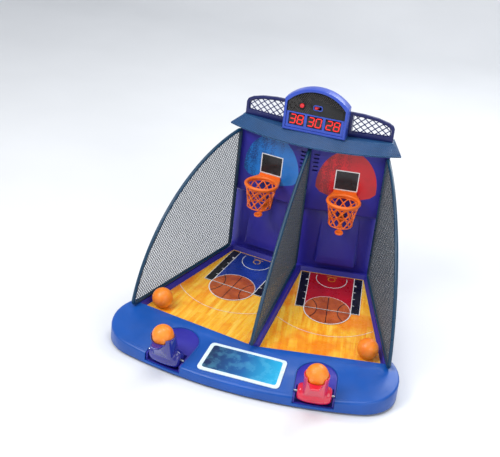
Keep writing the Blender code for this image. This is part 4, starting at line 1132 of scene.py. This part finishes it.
def speaker_dots():
    """Raised rings round the small sound holes, on the upper left of the panel."""
    low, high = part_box("scoreboard_panel")
    centre_x, apex = 0.0, high.z
    button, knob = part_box("reset_button"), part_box("power_switch_knob")
    front = low.y
    bm = bmesh.new()
    pitch = 0.0036
    keep_out = [((button[0] + button[1]) / 2, 0.0078), ((knob[0] + knob[1]) / 2, 0.0105)]
    for row in range(14):
        for column in range(-16, 17):
            x = centre_x + (column + 0.5 * (row % 2)) * pitch
            z = 0.3835 + row * pitch * 0.8
            edge = apex - 0.0022 - (x / 0.0553) ** 2 * 0.0238
            if z > edge or abs(x) > 0.0528:
                continue
            if x > -0.012 and z < 0.4115 - 0.0008 * column:
                continue
            if any(math.hypot(x - spot.x, z - spot.z) < radius for spot, radius in keep_out):
                continue
            matrix = frame_matrix(Vector((x, front, z)), Vector((1, 0, 0)), UP, Vector((0, -1, 0)))
            rows = []
            angles = [2 * math.pi * k / 10 for k in range(10)]
            for radius, height in DOT_PROFILE:
                rows.append([matrix @ Vector((radius * math.cos(a), radius * math.sin(a), height))
                             for a in angles])
            skin(bm, rows, closed_rows=True)
    finish_mesh("sound_hole_rings", bm, plastic("ring_plastic", "4A4440", 0.3, 0.45, edge_highlight_strength=0), MACHINE,
                30)


def controls():
    low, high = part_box("reset_button")
    middle = (low + high) / 2
    facing = Vector((0, -1, 0))
    place = frame_matrix(Vector((middle.x, low.y, middle.z)), Vector((1, 0, 0)), UP, facing)
    bm = bmesh.new()
    radius = 0.0042
    profile = [(radius * 0.97, -0.0055), (radius, -0.0010), (radius * 0.96, -0.0004), (radius * 0.85, 0.0),
               (radius * 0.5, -0.0003), (0.0002, -0.0004)]
    revolve(bm, profile, 40, place)
    button = finish_mesh("reset_button_cap", bm, CONTROL_RED, "reset_button_body", 50)
    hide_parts("reset_button")
    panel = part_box("scoreboard_panel")[0].y
    bm = bmesh.new()
    ring = frame_matrix(Vector((middle.x, panel, middle.z)), Vector((1, 0, 0)), UP, facing)
    rows = [[ring @ Vector((r * math.cos(a), r * math.sin(a), h)) for a in
             [2 * math.pi * k / 40 for k in range(40)]]
            for r, h in ((0.0062, -0.0001), (0.0062, 0.0004), (0.0058, 0.0008), (0.0050, 0.0008),
                         (0.0048, 0.0003), (0.0048, -0.0001))]
    skin(bm, rows, closed_rows=True)
    finish_mesh("reset_button_ring", bm, BLACK, MACHINE, 40)
    knob_low, knob_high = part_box("power_switch_knob")
    centre_z = (knob_low.z + knob_high.z) / 2
    left, right = knob_low.x - 0.0015, knob_low.x + 0.0165
    half = 0.0052
    outer = rounded([(left, centre_z - half), (right, centre_z - half), (right, centre_z + half),
                     (left, centre_z + half)], 0.0045)
    rim = 0.0018
    inner = rounded([(left + rim, centre_z - half + rim), (right - rim, centre_z - half + rim),
                     (right - rim, centre_z + half - rim), (left + rim, centre_z + half - rim)], 0.0028)
    bm = bmesh.new()
    rows = [[Vector((x, panel - rise, z)) for x, z in outline]
            for outline, rise in ((outer, -0.0001), (outer, 0.0008), (inner, 0.0008), (inner, -0.0001))]
    skin(bm, rows, closed_rows=True)
    piece = finish_mesh("power_switch_surround", bm, SCORE_BLUE, MACHINE, 30)
    soften(piece, 0.0002)


# Apron

APRON_FRONT_HEIGHT = 0.021
APRON_SLOPE = 0.17


def apron_height(y):
    return APRON_FRONT_HEIGHT + APRON_SLOPE * (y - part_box("front_apron")[0].y)


def apron_trim():
    """A fine moulded bead that follows the apron's front edge, broken by the launchers' slots."""
    radius, inset = 0.709, 0.0075
    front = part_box("front_apron")[0].y
    centre = front + radius
    slot_gap = 0.0385
    slot_x = 0.133
    reach = 0.205
    for name, start, end in (("middle", -slot_x + slot_gap, slot_x - slot_gap),
                             ("left", -reach, -slot_x - slot_gap), ("right", slot_x + slot_gap, reach)):
        points = []
        for k in range(33):
            x = start + (end - start) * k / 32
            y = centre - math.sqrt((radius - inset) ** 2 - x * x)
            points.append(Vector((x, y, apron_height(y) - 0.0001)))
        bm = bmesh.new()
        sweep(bm, points, [0.0002] + [0.0008] * 31 + [0.0002], UP, sides=10, flat=0.7)
        finish_mesh("apron_bead_" + name, bm, BLUE, MACHINE, 50)


def label_print():
    """A blank badge: a dark to light blue field inside the plate's pale border."""
    low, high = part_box("label_plate")
    top = 0.0025

    def place(x, y, rise):
        return Vector((x, y, apron_height(y) + top + rise))

    sheet = Print(place)
    front, back = low.y + 0.0062, high.y - 0.0062
    half_front, half_back = high.x - 0.0066, high.x - 0.0106
    corners = [(-half_front, front), (half_front, front), (half_back, back), (-half_back, back)]
    field = rounded(corners, 0.0055)
    sheet.shape(field, label_field())
    sheet.done("label_print", MACHINE, UP)


def label_field():
    look = Look("badge_field", coat=0.3)
    place = look.tree.nodes.new("ShaderNodeSeparateXYZ")
    look.link(look.coordinates, place.inputs[0])
    slide = look.maths("MULTIPLY_ADD", place.outputs["X"], 6.5, 0.5)
    wash = look.ramp(slide, [(0.05, srgb("0A1440")), (0.5, srgb("135A9C")), (0.95, srgb("22B4E4"))])
    streak = look.ramp(look.noise(60, 4), [(0.45, 0.0), (0.8, 0.3)])
    look.colour(look.mix(streak, wash, srgb("6FD8F4")))
    look.roughen(60, 0.2, 0.32)
    return look.material


def slot_rims():
    """The raised lip round each launcher's slot in the apron."""
    half, end = 0.0355, -0.019
    for lane in LANES:
        points = []
        wide = half + 0.0012
        mouth = -0.100
        for x, y in [(wide, mouth)] + arc(0, end - half, wide, wide, 0, 180, 32) + [(-wide, mouth)]:
            spot = lane.point(x, y, 0)
            spot.z = apron_height(spot.y) + 0.0001
            points.append(spot)
        bm = bmesh.new()
        sweep(bm, points, 0.0009, UP, sides=10, flat=0.75)
        finish_mesh(lane.name + "_slot_lip", bm, BLUE, MACHINE, 50)


# Fasteners and the rear

def screw(bm, centre, out, turn=0.4, radius=0.0031):
    """A domed head with a cross recess."""
    x = out.orthogonal().normalized()
    x = (Matrix.Rotation(turn, 3, out) @ x).normalized()
    y = out.cross(x)
    count = 32
    rows = []
    for share, height in ((1.0, -0.0004), (1.0, 0.0004), (0.93, 0.0009), (0.72, 0.0013)):
        rows.append([centre + (x * math.cos(2 * math.pi * k / count) + y * math.sin(2 * math.pi * k / count))
                     * (radius * share) + out * height for k in range(count)])
    recess = []
    arm, half = 0.52, 0.13
    for k in range(count):
        a = 2 * math.pi * k / count
        u, v = math.cos(a), math.sin(a)
        big = max(abs(u), abs(v))
        small = min(abs(u), abs(v))
        reach = arm if small / big < half / arm else half * 1.25 / max(small, 0.001)
        reach = min(reach, arm)
        recess.append((u * reach, v * reach))
    rows.append([centre + (x * u + y * v) * radius + out * 0.0014 for u, v in recess])
    rows.append([centre + (x * u + y * v) * radius * 0.8 + out * 0.0003 for u, v in recess])
    skin(bm, rows)


def screws():
    bm = bmesh.new()
    spots = []
    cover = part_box("tower_rear_cover")
    for lane in LANES:
        for x, z in ((0.064, cover[1].z - 0.012), (0.064, cover[0].z + 0.012), (0.064, 0.2),
                     (-0.058, cover[1].z - 0.012), (-0.058, cover[0].z + 0.012)):
            spots.append((lane.point(x, 0.3046, z), lane.along))
    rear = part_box("scoreboard_rear_cover")
    for x, z in ((-0.047, rear[0].z + 0.008), (0.047, rear[0].z + 0.008), (-0.036, rear[1].z - 0.018),
                 (0.036, rear[1].z - 0.018)):
        spots.append((Vector((x, rear[1].y, z)), Vector((0, 1, 0))))
    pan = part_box("bottom_pan")
    for x, y in ((-0.14, -0.13), (0.14, -0.13), (-0.19, -0.05), (0.19, -0.05), (-0.12, 0.12), (0.12, 0.12),
                 (0, -0.16)):
        spots.append((Vector((x, y, pan[0].z)), Vector((0, 0, -1))))
    for index, (spot, out) in enumerate(spots):
        screw(bm, spot, out, turn=0.7 * index)
    finish_mesh("screws", bm, STEEL, MACHINE, 40)


def rear_details():
    """Sound slots behind the speaker, drawn as black strips that stand in for the shade inside them,
    stiffening ribs on the tower's cover and a blank rating plate.
    """
    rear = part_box("scoreboard_rear_cover")
    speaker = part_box("speaker")
    middle = (speaker[0] + speaker[1]) / 2
    bm = bmesh.new()
    # Painted shade: black strips stand in for the shade inside the sound slots.
    for k in range(5):
        z = middle.z + (k - 2) * 0.0032
        half = 0.0095 - 0.0011 * abs(k - 2)
        line = [Vector((middle.x + half * t, rear[1].y, z)) for t in (-1, -0.9, 0.9, 1)]
        sweep(bm, line, [0.0004, 0.0009, 0.0009, 0.0004], Vector((0, 1, 0)), sides=8, flat=0.6)
    finish_mesh("rear_sound_slats", bm, BLACK, MACHINE, 50)
    bm = bmesh.new()
    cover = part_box("tower_rear_cover")
    for lane in LANES:
        for z0, z1 in ((cover[0].z + 0.022, cover[0].z + 0.118), (cover[0].z + 0.130, cover[1].z - 0.022)):
            outline = rounded([(-0.046, z0), (0.054, z0), (0.054, z1), (-0.046, z1)], 0.006)
            path = [lane.point(x, 0.3046, z) for x, z in outline]
            sweep(bm, path, 0.0012, lane.along, sides=10, closed=True, flat=0.8)
    finish_mesh("tower_cover_beads", bm, VIOLET, MACHINE, 50)
    bm = bmesh.new()
    lane = LANES[1]
    outline = rounded([(-0.018, 0.098), (0.030, 0.098), (0.030, 0.124), (-0.018, 0.124)], 0.003)
    slab(bm, outline, 0.3045, 0.3050, lambda x, z, y: lane.point(x, y, z))
    card = ink("rating_plate_card", "C9CCD2", "B4B8C0", 200)
    finish_mesh("rating_plate", bm, card, MACHINE, 30)


def door_details():
    """Grip ribs on the battery door."""
    low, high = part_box("battery_door")
    bm = bmesh.new()
    for k in range(7):
        y = high.y - 0.012 - 0.004 * k
        half = 0.010 - 0.0010 * abs(k - 3)
        line = [Vector((half * t, y, low.z)) for t in (-1, -0.9, 0.9, 1)]
        sweep(bm, line, [0.0003, 0.0007, 0.0007, 0.0003], UP, sides=8, flat=0.7)
    finish_mesh("battery_door_grip", bm, BLACK, "battery_door_body", 50)


for current in LANES:
    court_print(current)
    board_print(current)
    hoop(current)
    launcher(current)
nets()
for number, ball_node in enumerate(both("loaded_ball") + both("court_ball")):
    ball(ball_node, number)
displays()
speaker_dots()
controls()
apron_trim()
slot_rims()
label_print()
screws()
rear_details()
door_details()

# Stage, camera and light

def stage():
    bm = bmesh.new()
    size, rise, back = 2.6, 2.2, 2.0
    curve, half_width, drop = 0.5, 3.2, 0.0001
    turns = [math.radians(a) for a in range(0, 91, 6)]
    bend = [(back + curve * math.sin(a), curve - curve * math.cos(a)) for a in turns]
    profile = [(-size, 0.0)] + bend + [(back + curve, rise)]
    rows = [[Vector((x, y, z - drop)) for y, z in profile] for x in (-half_width, half_width)]
    skin(bm, rows, closed_ring=False, caps=False)
    look = Look("studio_floor", roughness=0.6)
    look.colour(look.ramp(look.noise(3, 2), [(0.3, (0.80, 0.81, 0.83)), (0.7, (0.84, 0.85, 0.87))]))
    mesh = bpy.data.meshes.new("studio_floor")
    bm.to_mesh(mesh)
    bm.free()
    mesh.materials.append(look.material)
    mesh.shade_smooth()
    floor = bpy.data.objects.new("studio_floor", mesh)
    bpy.context.scene.collection.objects.link(floor)


IMAGE_WIDTH = 500


def camera():
    azimuth, elevation, roll = math.radians(14.5), math.radians(26.0), math.radians(6.4)
    distance, focal = 1.882, 1070.0
    aim = Vector((-0.0500, -0.0230, 0.222))
    back = Vector((math.sin(azimuth) * math.cos(elevation), -math.cos(azimuth) * math.cos(elevation),
                   math.sin(elevation)))
    data = bpy.data.cameras.new("camera")
    data.sensor_width = 36
    data.lens = focal / IMAGE_WIDTH * data.sensor_width
    made = bpy.data.objects.new("camera", data)
    made.rotation_mode = "QUATERNION"
    facing = (-back).to_track_quat("-Z", "Y")
    made.rotation_quaternion = facing @ Matrix.Rotation(roll, 3, "Z").to_quaternion()
    made.location = aim + back * distance
    bpy.context.scene.collection.objects.link(made)
    bpy.context.scene.camera = made


def light(name, position, aim, size, power, colour=(1, 1, 1)):
    data = bpy.data.lights.new(name, "AREA")
    data.size = size
    data.energy = power
    data.color = colour
    made = bpy.data.objects.new(name, data)
    made.location = position
    made.rotation_euler = (Vector(aim) - Vector(position)).to_track_quat("-Z", "Y").to_euler()
    bpy.context.scene.collection.objects.link(made)


def lights():
    light("key", (-1.1, -1.3, 1.9), (0, 0, 0.15), 1.0, 34)
    light("fill", (1.6, -1.2, 1.0), (0, 0, 0.15), 1.4, 12, (0.95, 0.97, 1.0))
    light("rim", (0.6, 1.5, 1.5), (0, 0, 0.25), 1.0, 20, (0.95, 0.98, 1.0))
    light("top", (0, -0.2, 2.0), (0, 0, 0), 1.2, 14)
    world = bpy.data.worlds.new("studio")
    world.use_nodes = True
    background = world.node_tree.nodes["Background"]
    background.inputs["Color"].default_value = (0.9, 0.94, 1.0, 1)
    background.inputs["Strength"].default_value = 0.4
    bpy.context.scene.world = world
    bpy.context.scene.view_settings.view_transform = "Standard"


stage()
camera()
lights()
